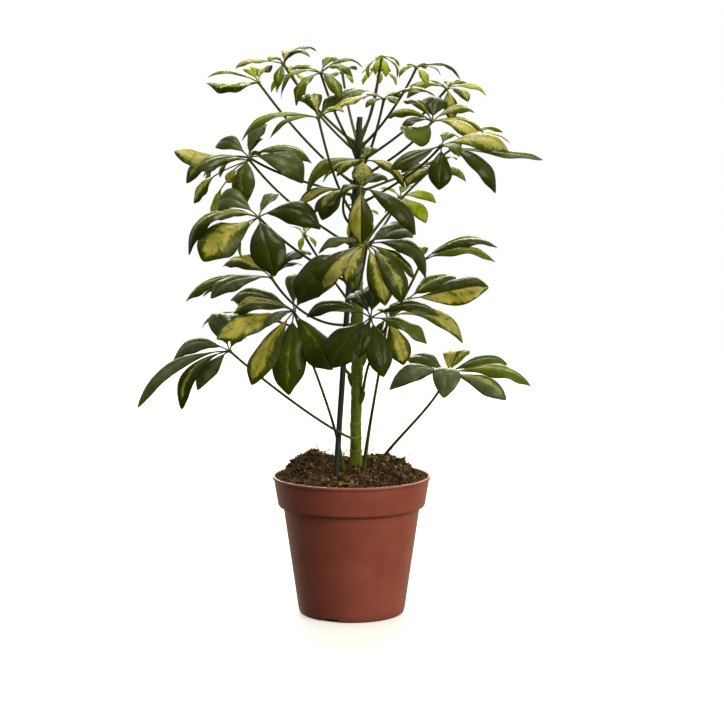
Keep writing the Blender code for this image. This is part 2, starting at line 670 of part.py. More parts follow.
def build_plant():
    clear_scene()
    parts = new_collection("potted_umbrella_plant")
    helpers = new_collection("helpers")
    planted = new_collection("planting_cutters")
    terracotta = material("terracotta_plastic", (0.22, 0.055, 0.032), 0.45)
    peat = material("peat_soil", (0.045, 0.026, 0.015), 0.95)
    bark = material("green_stem", (0.13, 0.16, 0.03), 0.55)
    stained = material("stained_cane", (0.02, 0.035, 0.045), 0.6)
    leaf_green = material("variegated_leaf", (0.06, 0.10, 0.02), 0.35)

    build_pot(parts, helpers, terracotta)
    build_stem(parts, bark)
    build_cane(parts, stained)
    for name, leaf in LEAVES.items():
        build_leaf(name, leaf, parts, helpers, leaf_green)
        if isinstance(leaf["root"], tuple):
            points, radii = stalk_route(leaf)
            planting_cutter(name + "_planting", points[:3], radii[:3], planted)
    stem_foot = STEM[:5]
    planting_cutter(
        "stem_planting", [Vector(row[:3]) * MM for row in stem_foot], [row[3] * MM for row in stem_foot], planted
    )
    planting_cutter(
        "cane_planting", [Vector(CANE_FOOT) * MM, Vector(CANE_TOP) * MM], [CANE_RADIUS] * 2, planted
    )
    build_soil(parts, planted, peat)


build_plant()
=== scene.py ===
"""Looks of the potted umbrella plant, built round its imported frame.

Meshes are in metres, +Z up, with the pot standing on z = 0 and its axis at x = y = 0. The leaves, the stem
and the cane are given in millimetres. The frame has them in a plainer form. Most leaflets end at the same
points in it, a few up to a centimetre away, and those of the young leaf at the top up to 27 mm away.
"""

import itertools
import math
from types import SimpleNamespace

import bpy
import numpy as np
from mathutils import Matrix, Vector


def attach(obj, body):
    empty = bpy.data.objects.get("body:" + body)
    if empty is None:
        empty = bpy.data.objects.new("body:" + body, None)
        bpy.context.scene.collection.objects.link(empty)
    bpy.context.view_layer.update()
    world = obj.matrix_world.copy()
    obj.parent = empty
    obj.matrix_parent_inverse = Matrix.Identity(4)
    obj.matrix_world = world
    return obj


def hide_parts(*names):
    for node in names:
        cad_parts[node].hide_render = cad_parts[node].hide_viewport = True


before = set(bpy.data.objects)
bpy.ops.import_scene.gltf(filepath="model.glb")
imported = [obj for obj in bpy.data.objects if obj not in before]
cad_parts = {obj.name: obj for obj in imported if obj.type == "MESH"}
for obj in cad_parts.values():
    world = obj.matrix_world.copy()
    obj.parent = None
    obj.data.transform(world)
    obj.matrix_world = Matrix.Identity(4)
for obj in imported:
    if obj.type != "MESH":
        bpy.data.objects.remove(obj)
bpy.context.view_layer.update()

MM = 0.001
BODY = "root"
TURN = 2 * math.pi
UP = np.array([0.0, 0.0, 1.0])
WHITE = (1, 1, 1, 1)
BLACK = (0, 0, 0, 1)

# Pot.
RIM_RADIUS = 0.085
RIM_HEIGHT = 0.150
LIP_HEIGHT = 0.0035
COLLAR_TOP_RADIUS = 0.0835
COLLAR_FOOT_RADIUS = 0.0782
COLLAR_FOOT_HEIGHT = 0.1175
BODY_TOP_RADIUS = 0.0732
BODY_TOP_HEIGHT = 0.1145
BASE_RADIUS = 0.0573
BASE_CORNER = 0.004
FOOT_OUTER_RADIUS = 0.0540
FOOT_INNER_RADIUS = 0.0495
CENTRE_DISC_RADIUS = 0.0300
GUTTER_HEIGHT = 0.0035
WALL = 0.0013
COLLAR_SLOPE = (COLLAR_TOP_RADIUS - COLLAR_FOOT_RADIUS) / (RIM_HEIGHT - COLLAR_FOOT_HEIGHT)
INNER_RIM_RADIUS = COLLAR_TOP_RADIUS - WALL
OUT_OF_ROUND = 0.0012  # how much wider the moulded pot is one way, as a share
POT_COLUMNS = 240
POT_STRETCH = 0.004  # the longest stretch of its outline
DRAIN_HOLES = 6
DRAIN_HOLE_RADIUS = 0.004
DRAIN_HOLE_CIRCLE = 0.040
DRAIN_BORE_SPARE = 0.002  # how far a bore runs out of the floor at each end
NOTCHES = 3
FIRST_NOTCH_TURN = 245  # degrees round from +X, to the front and left
NOTCH_WIDTH = 0.0215
NOTCH_EDGE = 0.0006  # half the width of a notch's sloping side

# Soil.
SOIL_EDGE_HEIGHT = 0.1445
SOIL_CENTRE_RISE = 0.0105  # how far the middle stands above the edge
SOIL_FOOT = ((0.001, 0.006), (0.053, 0.006), (0.0712, 0.1145))  # radius, height of its lower rings
SOIL_COLUMNS = 360
SOIL_RINGS = 110
MOUNDS = (  # centre x, centre y, reach, height
    (-0.046, 0.030, 0.030, 0.0195),
    (0.036, 0.032, 0.038, 0.0125),
    (-0.043, -0.020, 0.008, 0.0055),
    (0.046, -0.026, 0.009, 0.0045),
)
LUMPS = ((0.017, 0.0050), (0.0075, 0.0042), (0.0034, 0.0030), (0.0016, 0.0016))  # size, depth
CRUMBS = 3600
FIBRES = 520
SCATTER_SHARE = 0.975  # how far out crumbs and fibres lie, as a share of the way to the wall

# Main stem: its axis and radius.
STEM = (  # x, y, z, radius, in mm
    (5, 0, 112, 6.0),
    (5, 0, 148, 7.0),
    (5, 0, 160, 7.6),
    (4.5, 0, 176, 6.2),
    (4.5, 0, 205, 5.9),
    (6, 0, 253, 5.8),
    (6, 0, 290, 6.6),
    (6, 0, 330, 6.6),
    (6.5, 0, 385, 5.4),
    (7, 0, 445, 4.4),
    (7.5, 0, 500, 3.6),
    (7.5, 0, 522, 2.6),
)
STEM_COLUMNS = 48
STEM_EASING = 60  # rounds of smoothing, at one point to a millimetre
STEM_DOME = 9.0  # how high its rounded top stands
OLD_NODES = (176, 205, 242, 266)  # heights of rings left on the stem by leaves that have gone
RING_HEIGHT, RING_REACH = 0.45, 1.7
HOLLOW_DEPTH, HOLLOW_REACH, HOLLOW_ABOVE = 0.28, 1.2, 3.2  # the hollow over each ring

# Support cane.
CANE_FOOT = np.array([-22.0, -33.0, 70.0])
CANE_TOP = np.array([9.0, -12.0, 532.0])
CANE_RADIUS = 3.0
CANE_FOOT_BEVEL, CANE_TOP_BEVEL = 0.5, 0.45
CANE_FLUTES = 0.35  # their depth
CANE_ROWS = 200
CANE_COLUMNS = 36

# Leaf stalks and hubs.
STALK_RADIUS = 1.35
STALK_COLUMNS = 14
STALK_STEPS = 56
STALK_EASING = 10  # rounds of smoothing
STALK_RIBS, STALK_RIB_HEIGHT = 4, 0.035  # how many, and their height as a share of the radius
FOOT_SWELLS = ((0.95, 8), (0.12, 30))  # how much thicker its foot is, and the length over which that fades
HUB_SWELL = (0.3, 4)  # the same at the hub
SOIL_SWELL_REACH = 70  # how far up a stalk from the soil its stout foot reaches
STALK_SEAT = 2.5  # how far a stalk runs straight out of the stem before it curves
HANDLE_SHARE = 0.32  # how far the handles of its curve stand off its ends, as a share of its span
HUB_RADIUS = 2.3
HUB_HALF_HEIGHT = 2.0
HUB_COLUMNS = 20
HUB_LOBES = 0.12  # their height as a share of the radius

# Leaflets.
USUAL_LEAFLET = (0.16, 0, 0.36)  # arch, roll, width
LEAFLET_STALK_RADIUS = 0.75
BLADE_HALF_THICKNESS = 0.2
BLADE_GROOVE = 0.30  # how steeply each half of a blade rises off its midrib
FULLNESS = 1.18  # how much wider a blade grows than its plain form in the frame
VEIN_PAIRS = 9  # side veins along each half of a blade
VEIN_SLANT = 1.5  # how many vein spacings a side vein runs forward on its way to the margin
VEIN_DIP = 0.008  # how deep a side vein lies, as a share of half the width
RIB_GROOVE, RIB_KEEL, RIB_REACH = 0.25, 0.55, 1.1  # the midrib's depth above and below, and its half width
BLADE_TWIST = 44  # degrees between the blades most twisted each way
BLADE_ROW = 1.6  # the length of leaflet to one ring of points
BLADE_ROWS = (18, 52)  # the fewest and the most rings
HALF_ACROSS = np.array([0, 0.06, 0.2, 0.4, 0.62, 0.82, 0.95, 1])
ACROSS = np.concatenate([-HALF_ACROSS[:0:-1], HALF_ACROSS])
SECTION = np.concatenate([ACROSS[::-1], ACROSS[1:-1]])  # over the top from +1 to -1, and back underneath
SECTION_SIDE = np.concatenate([np.ones(len(ACROSS)), -np.ones(len(ACROSS) - 2)])
SECTION_HEIGHT = SECTION_SIDE * np.sqrt(1 - SECTION**2)

# How a leaflet is coloured: how far its cream blotch reaches from the midrib to the margin (0 to 1), how
# light its green is, how yellow-green and young it is, how much further the blotch reaches on one half, and
# how much painted grey sheen lies over it.
LOOKS = {
    "d": (-0.6, 0.0, 0.0, 0.0, 0.0),  # dark green
    "g": (-0.5, 0.55, 0.0, 0.0, 0.0),  # middle green
    "w": (-0.5, 0.45, 0.0, 0.0, 1.0),  # middle green under a painted grey sheen
    "v": (-0.5, 0.45, 0.0, 0.0, 0.45),  # middle green under a thin painted sheen
    "l": (0.12, 0.95, 0.3, 0.0, 0.0),  # light green
    "s": (0.16, 0.1, 0.3, 0.0, 0.0),  # a streak along the midrib
    "W": (0.20, 0.3, 0.2, 0.0, 0.8),  # such a streak under a painted grey sheen
    "t": (-0.08, 0.25, 0.0, 0.0, 0.0),  # a few flecks by the midrib
    "b": (0.45, 0.3, 0.15, 0.0, 0.0),  # a ragged blotch
    "c": (0.72, 0.35, 0.15, 0.0, 0.0),  # cream almost to the margin
    "y": (0.80, 0.9, 1.0, 0.0, 0.0),  # young and yellow-green
    "h": (0.15, 0.1, 0.1, -0.75, 0.0),  # one half cream
    "H": (0.15, 0.1, 0.1, 0.75, 0.0),  # the other half cream
}

# Studio.
CAMERA_PLACE = (0.0112, -2.1, 0.50)
CAMERA_TARGET = (0.0112, 0, 0.272)
CAMERA_LENS = 98.2
CAMERA_SENSOR = 36
LAMPS = (  # name, place, what it faces, size, power
    ("key_right", (1.35, -1.5, 1.0), (0, 0, 0.2), 1.3, 30),
    ("overhead", (0.02, -0.02, 1.15), (0, 0, 0.45), 0.34, 4.6),
)
WARM_WHITE = (1.0, 0.975, 0.76, 1)
DIM_FRONT, BRIGHT_BACK, SOFT_BOX = 0.08, 0.68, 9.0  # how strongly the parts of the surroundings shine
FLOOR_RINGS = np.array([[0.01], [0.3], [1.0], [2.0], [3.0]])  # their radii
FLOOR_COLUMNS = 96
FLOOR_THICKNESS = 0.01
FLOOR_GLOW = 0.5


def make_leaf(looks, hub, facing, root, leaflets, pull=0.6, leaflet_stalk=0.12, stout=0.35, way=None,
              leave=0.3, arrive=0.4, bend=(0, 0, 0)):
    """A leaf, in millimetres.

    looks is a letter of LOOKS for each leaflet. facing is the way that the crown of leaflets faces. root is
    where the stalk begins: a height on the stem, or a point inside the soil. A leaflet is the place of its
    tip from the hub and, where they aren't the usual ones, its arch, its roll in degrees and its width as a
    share of its length. pull is how far leaflets set out straight for their tips, and leaflet_stalk is the
    share of each that is bare stalk. way is where the leaf's stalk leaves the stem, in degrees round from
    +X, if it isn't on the hub's side. leave and arrive are how strongly it leaves outwards and reaches the
    hub from below, bend moves its middle aside, and stout is how much it thickens at its foot if it begins
    in the soil.
    """
    return SimpleNamespace(
        looks=looks, hub=np.array(hub, float), facing=np.array(facing, float), root=root, leaflets=leaflets,
        pull=pull, leaflet_stalk=leaflet_stalk, stout=stout, way=way, leave=leave, arrive=arrive,
        bend=np.array(bend, float), in_soil=isinstance(root, tuple))


LEAVES = [  # looks, hub, facing, root, anything unusual, leaflets
    make_leaf("yyylyy", (32, 0, 595), (0, 0, 1), 517, leaflets=[
        (-15, -5, -21, 0.2), (-7, -14, -19), (4, -14, -22), (17, -6, -22, 0.2), (19, 5, -10, 0.2),
        (-6, 14, -4),
    ]),
    make_leaf("ddblcl", (-71, -20, 587), (0, -0.2, 1), 506, leaflets=[
        (34, 25, 16, 0.16, 0, 0.26), (29, -35, 5, 0.2, 0, 0.24), (7, 45, 13, 0.14, 0, 0.26), (-14, -25, 2),
        (-49, -15, -3, 0.08, -5, 0.24), (-5, -22, -26, 0.14, 0, 0.3),
    ]),
    make_leaf("lyssyl", (68, -25, 583), (0, -0.1, 1), 503, leaflets=[
        (-19, -20, -11, 0.2, 0, 0.3), (10, -28, -20, 0.14, 0, 0.3), (25, -10, -8, 0.16, 0, 0.26),
        (47, 10, -13, 0.2, 0, 0.24), (-9, 22, 0), (10, 25, 0),
    ]),
    make_leaf("yyyyyy", (30, 25, 582), (0, 0, 1), 511, leaflets=[
        (-19, -5, -3), (-18, -15, -16), (0, -15, -15), (18, -10, -16), (-9, 18, -1), (12, 15, -1),
    ]),
    make_leaf("ylyyl", (-10, 50, 580), (0, 0, 1), 509, leaflets=[
        (-18, -10, 6), (15, 20, 5), (-8, 30, 10), (11, -15, -12), (-15, -20, -10),
    ]),
    make_leaf("yyyyy", (-65, 45, 579), (0, 0.1, 1), 498, leaflets=[
        (20, 20, 8), (-15, -15, -21), (-23, 10, -19), (15, -20, -11), (-6, 30, 6),
    ]),
    make_leaf("ggglllb", (-31, -60, 576), (0, -0.4, 1), 495, leaflets=[
        (15, 50, 14, 0.16, 0, 0.26), (43, 15, 8, 0.2, 0, 0.2), (33, -25, -5, 0.22, 0, 0.24),
        (20, -30, -26, 0.18, 0, 0.34), (-25, -15, -34, 0.25, 0, 0.3), (-41, -10, -26, 0.32, 0, 0.22),
        (-32, 20, 3, 0.14, 0, 0.24),
    ]),
    make_leaf("ybyyb", (-99, 20, 569), (-0.3, -0.2, 1), 463, leaflets=[
        (-52, -22, 7, 0.1), (-54, -10, 0, -0.1, -20), (-38, -38, -8, 0.02), (-14, 40, 14), (9, 45, 14),
    ]),
    make_leaf("llybbylg", (101, 10, 562), (0.2, -0.2, 1), 488, leaflets=[
        (-45, -10, -3, 0.18, 0, 0.26), (-43, -28, -9, 0.18, 0, 0.26), (42, -5, -7, 0.16, 16, 0.38),
        (21, -30, -14), (3, -25, -34, 0.14, 0, 0.36), (3, 40, 3, 0.16, 0, 0.28), (-24, 35, 3, 0.16, 0, 0.28),
        (25, 30, 3, 0.16, 0, 0.28),
    ]),
    make_leaf("ggbgb", (34, -30, 550), (0, -0.2, 1), 478, leaflets=[
        (-19, -15, -9), (13, -25, -6), (54, -10, 2), (-22, 20, 1), (18, 30, 3),
    ]),
    make_leaf("llbbgcyd", (-33, -90, 530), (0, -0.4, 1), 430, way=222, bend=(0, -18, 0), leaflets=[
        (-78, -5, -21, 0.17, 0, 0.2), (-48, -12, -21, 0.2, 0, 0.18), (-19, 45, 20), (-9, 35, 25),
        (50, 30, 29, 0.12, 0, 0.42), (52, -12, 21, 0.05, 0, 0.44), (26, -25, 6), (28, 35, 22),
    ]),
    make_leaf("dsbdgbbc", (84, -40, 527), (0, -0.3, 1), 470, leaflets=[
        (5, 41, 26, 0.1, 0, 0.48), (-26, 45, 20), (-47, 25, 4), (-33, -20, -8),
        (-28, -45, -14, -0.1, -25, 0.5), (45, 22, 10), (55, 10, -14), (48, -30, -22),
    ]),
    make_leaf("yybyyb", (119, 50, 508), (0, 0, 1), 455, leaflets=[
        (45, 10, 9), (52, -10, -4), (30, -25, -11), (20, 35, 11), (-23, 20, 5), (-8, -20, -16),
    ]),
    make_leaf("dgddcvg", (91, -100, 502), (0.1, -0.5, 1), 442, leaflets=[
        (-51, -15, -24, 0.04, -20, 0.28), (17, -30, -10), (-3, -20, -44, 0.1, 0, 0.42),
        (54, -20, -47, 0.2, 0, 0.28), (68, -10, -4, 0.14, 10, 0.4), (103, 5, -13, -0.02, 0, 0.13),
        (10, 30, 10),
    ]),
    make_leaf("csccvvdvgt", (-108, -10, 490), (-0.3, -0.4, 1), 450, leaflets=[
        (-76, -22, 8, -0.08, -15), (-64, -25, -26, 0.16), (-49, 20, -22), (-33, 35, -22),
        (-37, 25, 10, 0.25, -20, 0.4), (16, 35, 37), (11, 30, 20), (58, -10, -25, 0.2, 13, 0.44),
        (66, 20, -6, 0.2), (-3, -40, -50),
    ]),
    make_leaf("lbybgc", (12, -50, 486), (0, -0.4, 1), 437, pull=0.5, leaflets=[
        (-60, -4, -35, 0.26, 0, 0.3), (-27, -25, -14), (-43, 15, -20, 0.14, 0, 0.28),
        (43, -12, -27, 0.22, 0, 0.3), (13, 35, 12), (0, -24, -26, 0.16, 0, 0.56),
    ]),
    make_leaf("dblgl", (87, 30, 478), (0, -0.2, 1), 397, bend=(-8, 0, 4), leaflets=[
        (-34, -10, -4, 0.14, -15, 0.42), (-29, -25, -18, 0.14, -10, 0.44), (35, -20, -13), (-6, 25, 4),
        (27, 30, 9),
    ]),
    make_leaf("bycyg", (-110, 35, 487), (-0.3, -0.5, 1), 397, leaflet_stalk=0.5, arrive=0.8, bend=(2, 0, -2),
              leaflets=[
        (-63, 10, -45, 0.08, -20, 0.24), (-42, 8, -65, 0.1, 0, 0.34), (-24, -6, -24, 0.1, 0, 0.5),
        (-50, 18, -20, 0.14, 0, 0.3), (8, 30, 6),
    ]),
    make_leaf("dHgds", (10, -100, 460), (0, -0.6, 1), 408, leaflets=[
        (56, -15, -46, 0.17, 0, 0.32), (0, -28, -55, 0.12), (-6, 22, 12), (26, 35, 8), (-20, -22, -6),
    ]),
    make_leaf("hbvd", (-6, -70, 456), (-0.1, -0.5, 1), 418, way=215, bend=(-4, 0, 0), leaflets=[
        (-49, 8, -16, 0.2), (-24, -30, -18), (-33, 5, -23), (-24, -22, -28, 0.1, 0, 0.45),
    ]),
    make_leaf("yyyyyl", (52, 50, 447), (0, -0.3, 1), 388, leaflets=[
        (40, 0, -5, 0.14, 24, 0.46), (28, -18, -28, 0.14, 10, 0.5), (10, -25, -27), (-16, -15, -17),
        (-21, 20, 8), (11, 30, 10),
    ]),
    make_leaf("yyyy", (9, 30, 431), (0, 0, 1), 402, leaflets=[
        (20, -10, -2), (-10, -20, -30), (12, -20, -22), (-15, 25, 5),
    ]),
    make_leaf("vbsbdyvd", (-95, -70, 429), (-0.2, -0.5, 1), 356, leaflets=[
        (-47, 35, 6, 0.28, -20, 0.42), (-49, 10, -4), (-73, -5, -36, 0.3, 10, 0.34),
        (-55, -34, -42, 0.08, -30, 0.46), (18, -42, -58, 0.14, 0, 0.42), (-19, 20, -43),
        (20, 35, 23, 0.14, 0, 0.3), (64, -20, -10, 0.22, 20, 0.4),
    ]),
    make_leaf("yyyyy", (-52, 60, 405), (0, 0, 1), 333, bend=(3, 0, 0), leaflets=[
        (15, 10, 11), (-15, 10, 8), (-4, -15, -16), (13, -12, -12), (1, 20, 12),
    ]),
    make_leaf("vdhbbssddd", (16, -120, 404), (0, -0.6, 1), 350, leaflets=[
        (-49, 0, -8, 0.2, 0, 0.3), (-68, -22, -57, 0.12, -10, 0.36), (-48, -28, -45), (-21, -32, -38),
        (18, -30, -60, 0.12, 0, 0.32), (35, -20, -58, 0.2, 0, 0.34), (48, -5, -36, 0.14, 0, 0.3),
        (61, 10, -34, 0.3), (36, 35, 5), (48, 38, 12, 0.08, 0, 0.42),
    ]),
    make_leaf("slgl", (75, 20, 378), (0.1, -0.4, 1), 279, leaflets=[
        (82, 5, 16, 0.18, 0, 0.34), (78, -20, 2, 0.16, 0, 0.26), (-28, -15, 13), (0, 35, 14),
    ]),
    make_leaf("bvlgddd", (-86, 10, 362), (-0.3, -0.3, 1), 312, bend=(0, 0, -12), leaflets=[
        (-53, 25, 12, 0.2, -15, 0.4), (-63, -30, -18, 0.1, -15, 0.36), (-93, 10, -25, 0.12, 0, 0.24),
        (-75, 25, -23, 0.12, 0, 0.26), (33, 20, 12, 0.14, 0, 0.26), (42, 35, 25), (0, 45, 20),
    ]),
    make_leaf("sHg", (60, -40, 343), (0.1, -0.5, 1), 239, leave=0, bend=(-9, 0, 6), leaflets=[
        (50, 30, 22, 0.1, 0, 0.46), (82, -12, 16, -0.03, 20, 0.36), (-20, -20, -17),
    ]),
    make_leaf("tHcwbttgg", (-58, -100, 335), (-0.1, -0.6, 1), (-5, -13, 128), leave=0.8, arrive=1.5,
              bend=(4, 22, 0), leaflets=[
        (-66, 20, 12), (-61, -5, 0), (-77, -22, -27, 0.03, -25, 0.3), (-31, -20, -15),
        (-43, -25, -72, 0.06, 0, 0.3), (-5, -28, -82, 0.08, 0, 0.34), (40, -28, -56, 0, 0, 0.42),
        (-1, 45, 36, 0.14, 0, 0.26), (22, 45, 12),
    ]),
    make_leaf("dddddgdd", (20, -130, 331), (0, -0.6, 1), 298, leaflets=[
        (-65, 10, 2, 0.2, 0, 0.3), (-39, -25, -48, 0.12, -10, 0.48), (-12, -25, -38), (13, -30, -56, 0.1),
        (69, 10, 0, 0.2, 0, 0.28), (56, -15, -25, 0.14, 0, 0.28), (7, 50, 28), (-20, 50, 18),
    ]),
    make_leaf("bcdg", (38, -40, 323), (0, -0.4, 1), (10.5, -11, 128), stout=1.0, leave=0.8, bend=(-1, 0, 0),
              leaflets=[
        (16, -22, -48, 0.1, 0, 0.4), (78, -20, -25, 0.24, 14, 0.24), (-14, -5, -25), (-6, 34, 3),
    ]),
    make_leaf("lvlll", (-116, 40, 321), (0, 0, 1), 256, leave=0.1, bend=(10, 0, 18), leaflets=[
        (-47, 0, -16), (-30, -20, -20), (20, -10, -10), (-10, 30, 10), (25, 25, 8),
    ]),
    make_leaf("wwswwg", (-129, -20, 286), (-0.3, -0.4, 1), 190, pull=0.5, way=256, leave=2.4,
              bend=(0, -34, 8), leaflets=[
        (-97, -15, -58, 0.15, -10, 0.16), (-63, 20, -12, 0.22, -10, 0.34), (-50, -20, -60, 0.22, 0, 0.28),
        (-33, -28, -37, 0.08, -10, 0.36), (-16, 40, 40), (15, 28, 12),
    ]),
    make_leaf("wvclglWw", (100, -60, 266), (0.1, -0.4, 1), (18, 3, 146), arrive=0.8, bend=(4, 0, 3),
              leaflets=[
        (-61, -15, -12, 0.22, -10, 0.4), (-41, 30, 13, 0.15, -15, 0.42), (7, 40, 20),
        (24, 30, 23, 0.08, 0, 0.25), (64, 20, 9, 0.14, 0, 0.3), (87, -5, -11, 0.14, 10, 0.26),
        (60, -22, -24, 0.12, 12, 0.36), (-6, -50, -19, 0.34, 0, 0.46),
    ]),
]


# ---------------------------------------------------------------- arrays and meshes


def unit(vectors):
    """Each vector divided by its own length."""
    return vectors / np.linalg.norm(vectors, axis=-1, keepdims=True)


def smooth(value, low, high):
    """Zero up to low, one from high on, and a smooth step between them."""
    part = np.clip((value - low) / (high - low), 0, 1)
    return part * part * (3 - 2 * part)


def full_turn(count):
    """Angles evenly spaced round a whole turn."""
    return TURN * np.arange(count) / count


def round_axis(radius, turn, height):
    """Points at a distance and a turn round +Z, and at a height."""
    return np.stack(np.broadcast_arrays(radius * np.cos(turn), radius * np.sin(turn), height), -1)


def bow_curve(t, begin, handle, end):
    """The quadratic curve between two points that a handle pulls aside."""
    return (1 - t) ** 2 * begin + 2 * t * (1 - t) * handle + t * t * end


LATTICE = np.random.default_rng(11).random((24, 24, 24))


def noise(points, size):
    """Random values at the corners of a cubic lattice of this size, blended smoothly between them: 0 to 1."""
    low = np.floor(points / size).astype(int)
    part = points / size - low
    part = part * part * (3 - 2 * part)
    total = 0
    for corner in itertools.product((0, 1), repeat=3):
        x, y, z = np.moveaxis((low + corner) % len(LATTICE), -1, 0)
        total = total + np.where(corner, part, 1 - part).prod(-1) * LATTICE[x, y, z]
    return total


def shells(rings, **marks):
    """Closed surfaces from rings of points, one row each, each surface closed to the middle of its end rings.

    rings is (rows, columns, 3), or (surfaces, rows, columns, 3). A mark is a value, or a tuple of the parts
    of a vector, each the same for all points or spread over them.
    """
    rows, columns = rings.shape[-3:-1]
    rings = rings.reshape(-1, rows, columns, 3)
    many = len(rings)
    size = rows * columns + 2
    index = np.arange(rows * columns).reshape(rows, columns)
    after = np.roll(index, -1, axis=1)
    quads = np.stack([index[:-1], index[1:], after[1:], after[:-1]], -1).reshape(-1, 4)
    first = np.stack([np.full(columns, size - 2), index[0], after[0]], -1)
    last = np.stack([np.full(columns, size - 1), after[-1], index[-1]], -1)
    fans = np.concatenate([first, last])

    def closed(values):
        """The values of each surface in one run, with the mean of each end ring after them."""
        ends = values[:, [0, -1]].mean(2)
        return np.concatenate([values.reshape(many, rows * columns, -1), ends], 1)

    points = closed(rings)
    a, b, c = np.moveaxis(points[0][np.concatenate([fans, quads[:, :3], quads[:, [0, 2, 3]]])], 1, 0)
    if np.einsum("ij,ij->", a, np.cross(b, c)) < 0:
        quads, fans = quads[:, ::-1], fans[:, ::-1]
    starts = size * np.arange(many)[:, None, None]
    made = {}
    for name, value in marks.items():
        parts = value if isinstance(value, tuple) else (value,)
        spread = np.stack([np.broadcast_to(part, rings.shape[:3]) for part in parts], -1)
        made[name] = closed(spread).reshape(many * size, -1)
    return {
        "points": points.reshape(-1, 3),
        "quads": (quads + starts).reshape(-1, 4),
        "fans": (fans + starts).reshape(-1, 3),
        "marks": made,
    }


def tube(path, radii, columns, upright=UP):
    """Rings of points round a path: circles whose radius is given at each point, or for each point of a ring.

    The first point of a ring is to the side, square to the path and to upright.
    """
    ahead = unit(np.gradient(path, axis=0))
    side = unit(np.cross(ahead, upright))
    up = np.cross(side, ahead)
    around = full_turn(columns)
    radii = np.asarray(radii, float)
    radii = radii[:, None] if radii.ndim == 1 else radii
    across = np.cos(around)[:, None] * side[:, None] + np.sin(around)[:, None] * up[:, None]
    return path[:, None] + radii[..., None] * across


def relaxed(values, rounds):
    """A run of points, each round moving every inner one a quarter of the way to each neighbour."""
    for _ in range(rounds):
        inner = (values[:-2] + 2 * values[1:-1] + values[2:]) / 4
        values = np.concatenate([values[:1], inner, values[-1:]])
    return values


def make_piece(name, surfaces, finish, replaced=(), crease=70):
    """One smooth mesh object from closed surfaces, which rides on the plant and stands for replaced nodes."""
    starts = np.cumsum([0] + [len(surface["points"]) for surface in surfaces])
    points = np.concatenate([surface["points"] for surface in surfaces])
    quads = np.concatenate([surface["quads"] + start for surface, start in zip(surfaces, starts)])
    fans = np.concatenate([surface["fans"] + start for surface, start in zip(surfaces, starts)])
    corners = np.concatenate([quads.ravel(), fans.ravel()]).astype(np.int32)
    firsts = np.concatenate([4 * np.arange(len(quads)), 4 * len(quads) + 3 * np.arange(len(fans))])
    mesh = bpy.data.meshes.new(name)
    mesh.vertices.add(len(points))
    mesh.vertices.foreach_set("co", points.astype(np.float32).ravel())
    mesh.loops.add(len(corners))
    mesh.loops.foreach_set("vertex_index", corners)
    mesh.polygons.add(len(firsts))
    mesh.polygons.foreach_set("loop_start", firsts.astype(np.int32))
    mesh.update(calc_edges=True)
    for mark in surfaces[0]["marks"]:
        values = np.concatenate([surface["marks"][mark] for surface in surfaces])
        kind, field = ("FLOAT", "value") if values.shape[1] == 1 else ("FLOAT_VECTOR", "vector")
        mesh.attributes.new(mark, kind, "POINT").data.foreach_set(field, values.astype(np.float32).ravel())
    mesh.shade_smooth()
    mesh.set_sharp_from_angle(angle=math.radians(crease))
    mesh.materials.append(finish)
    obj = add_object(name, mesh)
    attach(obj, BODY)
    if replaced:
        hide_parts(*replaced)
    return obj


def add_object(name, data):
    """An object in the scene, at the origin."""
    obj = bpy.data.objects.new(name, data)
    bpy.context.scene.collection.objects.link(obj)
    return obj


# ---------------------------------------------------------------- leaves

rng = np.random.default_rng(5)


def leaflet_frame(leaf, leaflet):
    """The leaflet's reach from the hub, its length, the way its arch bows and the way across it, in mm."""
    reach = np.array(leaflet[:3], float)
    length = np.linalg.norm(reach)
    ahead = reach / length
    bow = leaf.facing - (leaf.facing @ ahead) * ahead
    bow /= np.linalg.norm(bow)
    return reach, length, bow, np.cross(ahead, bow)


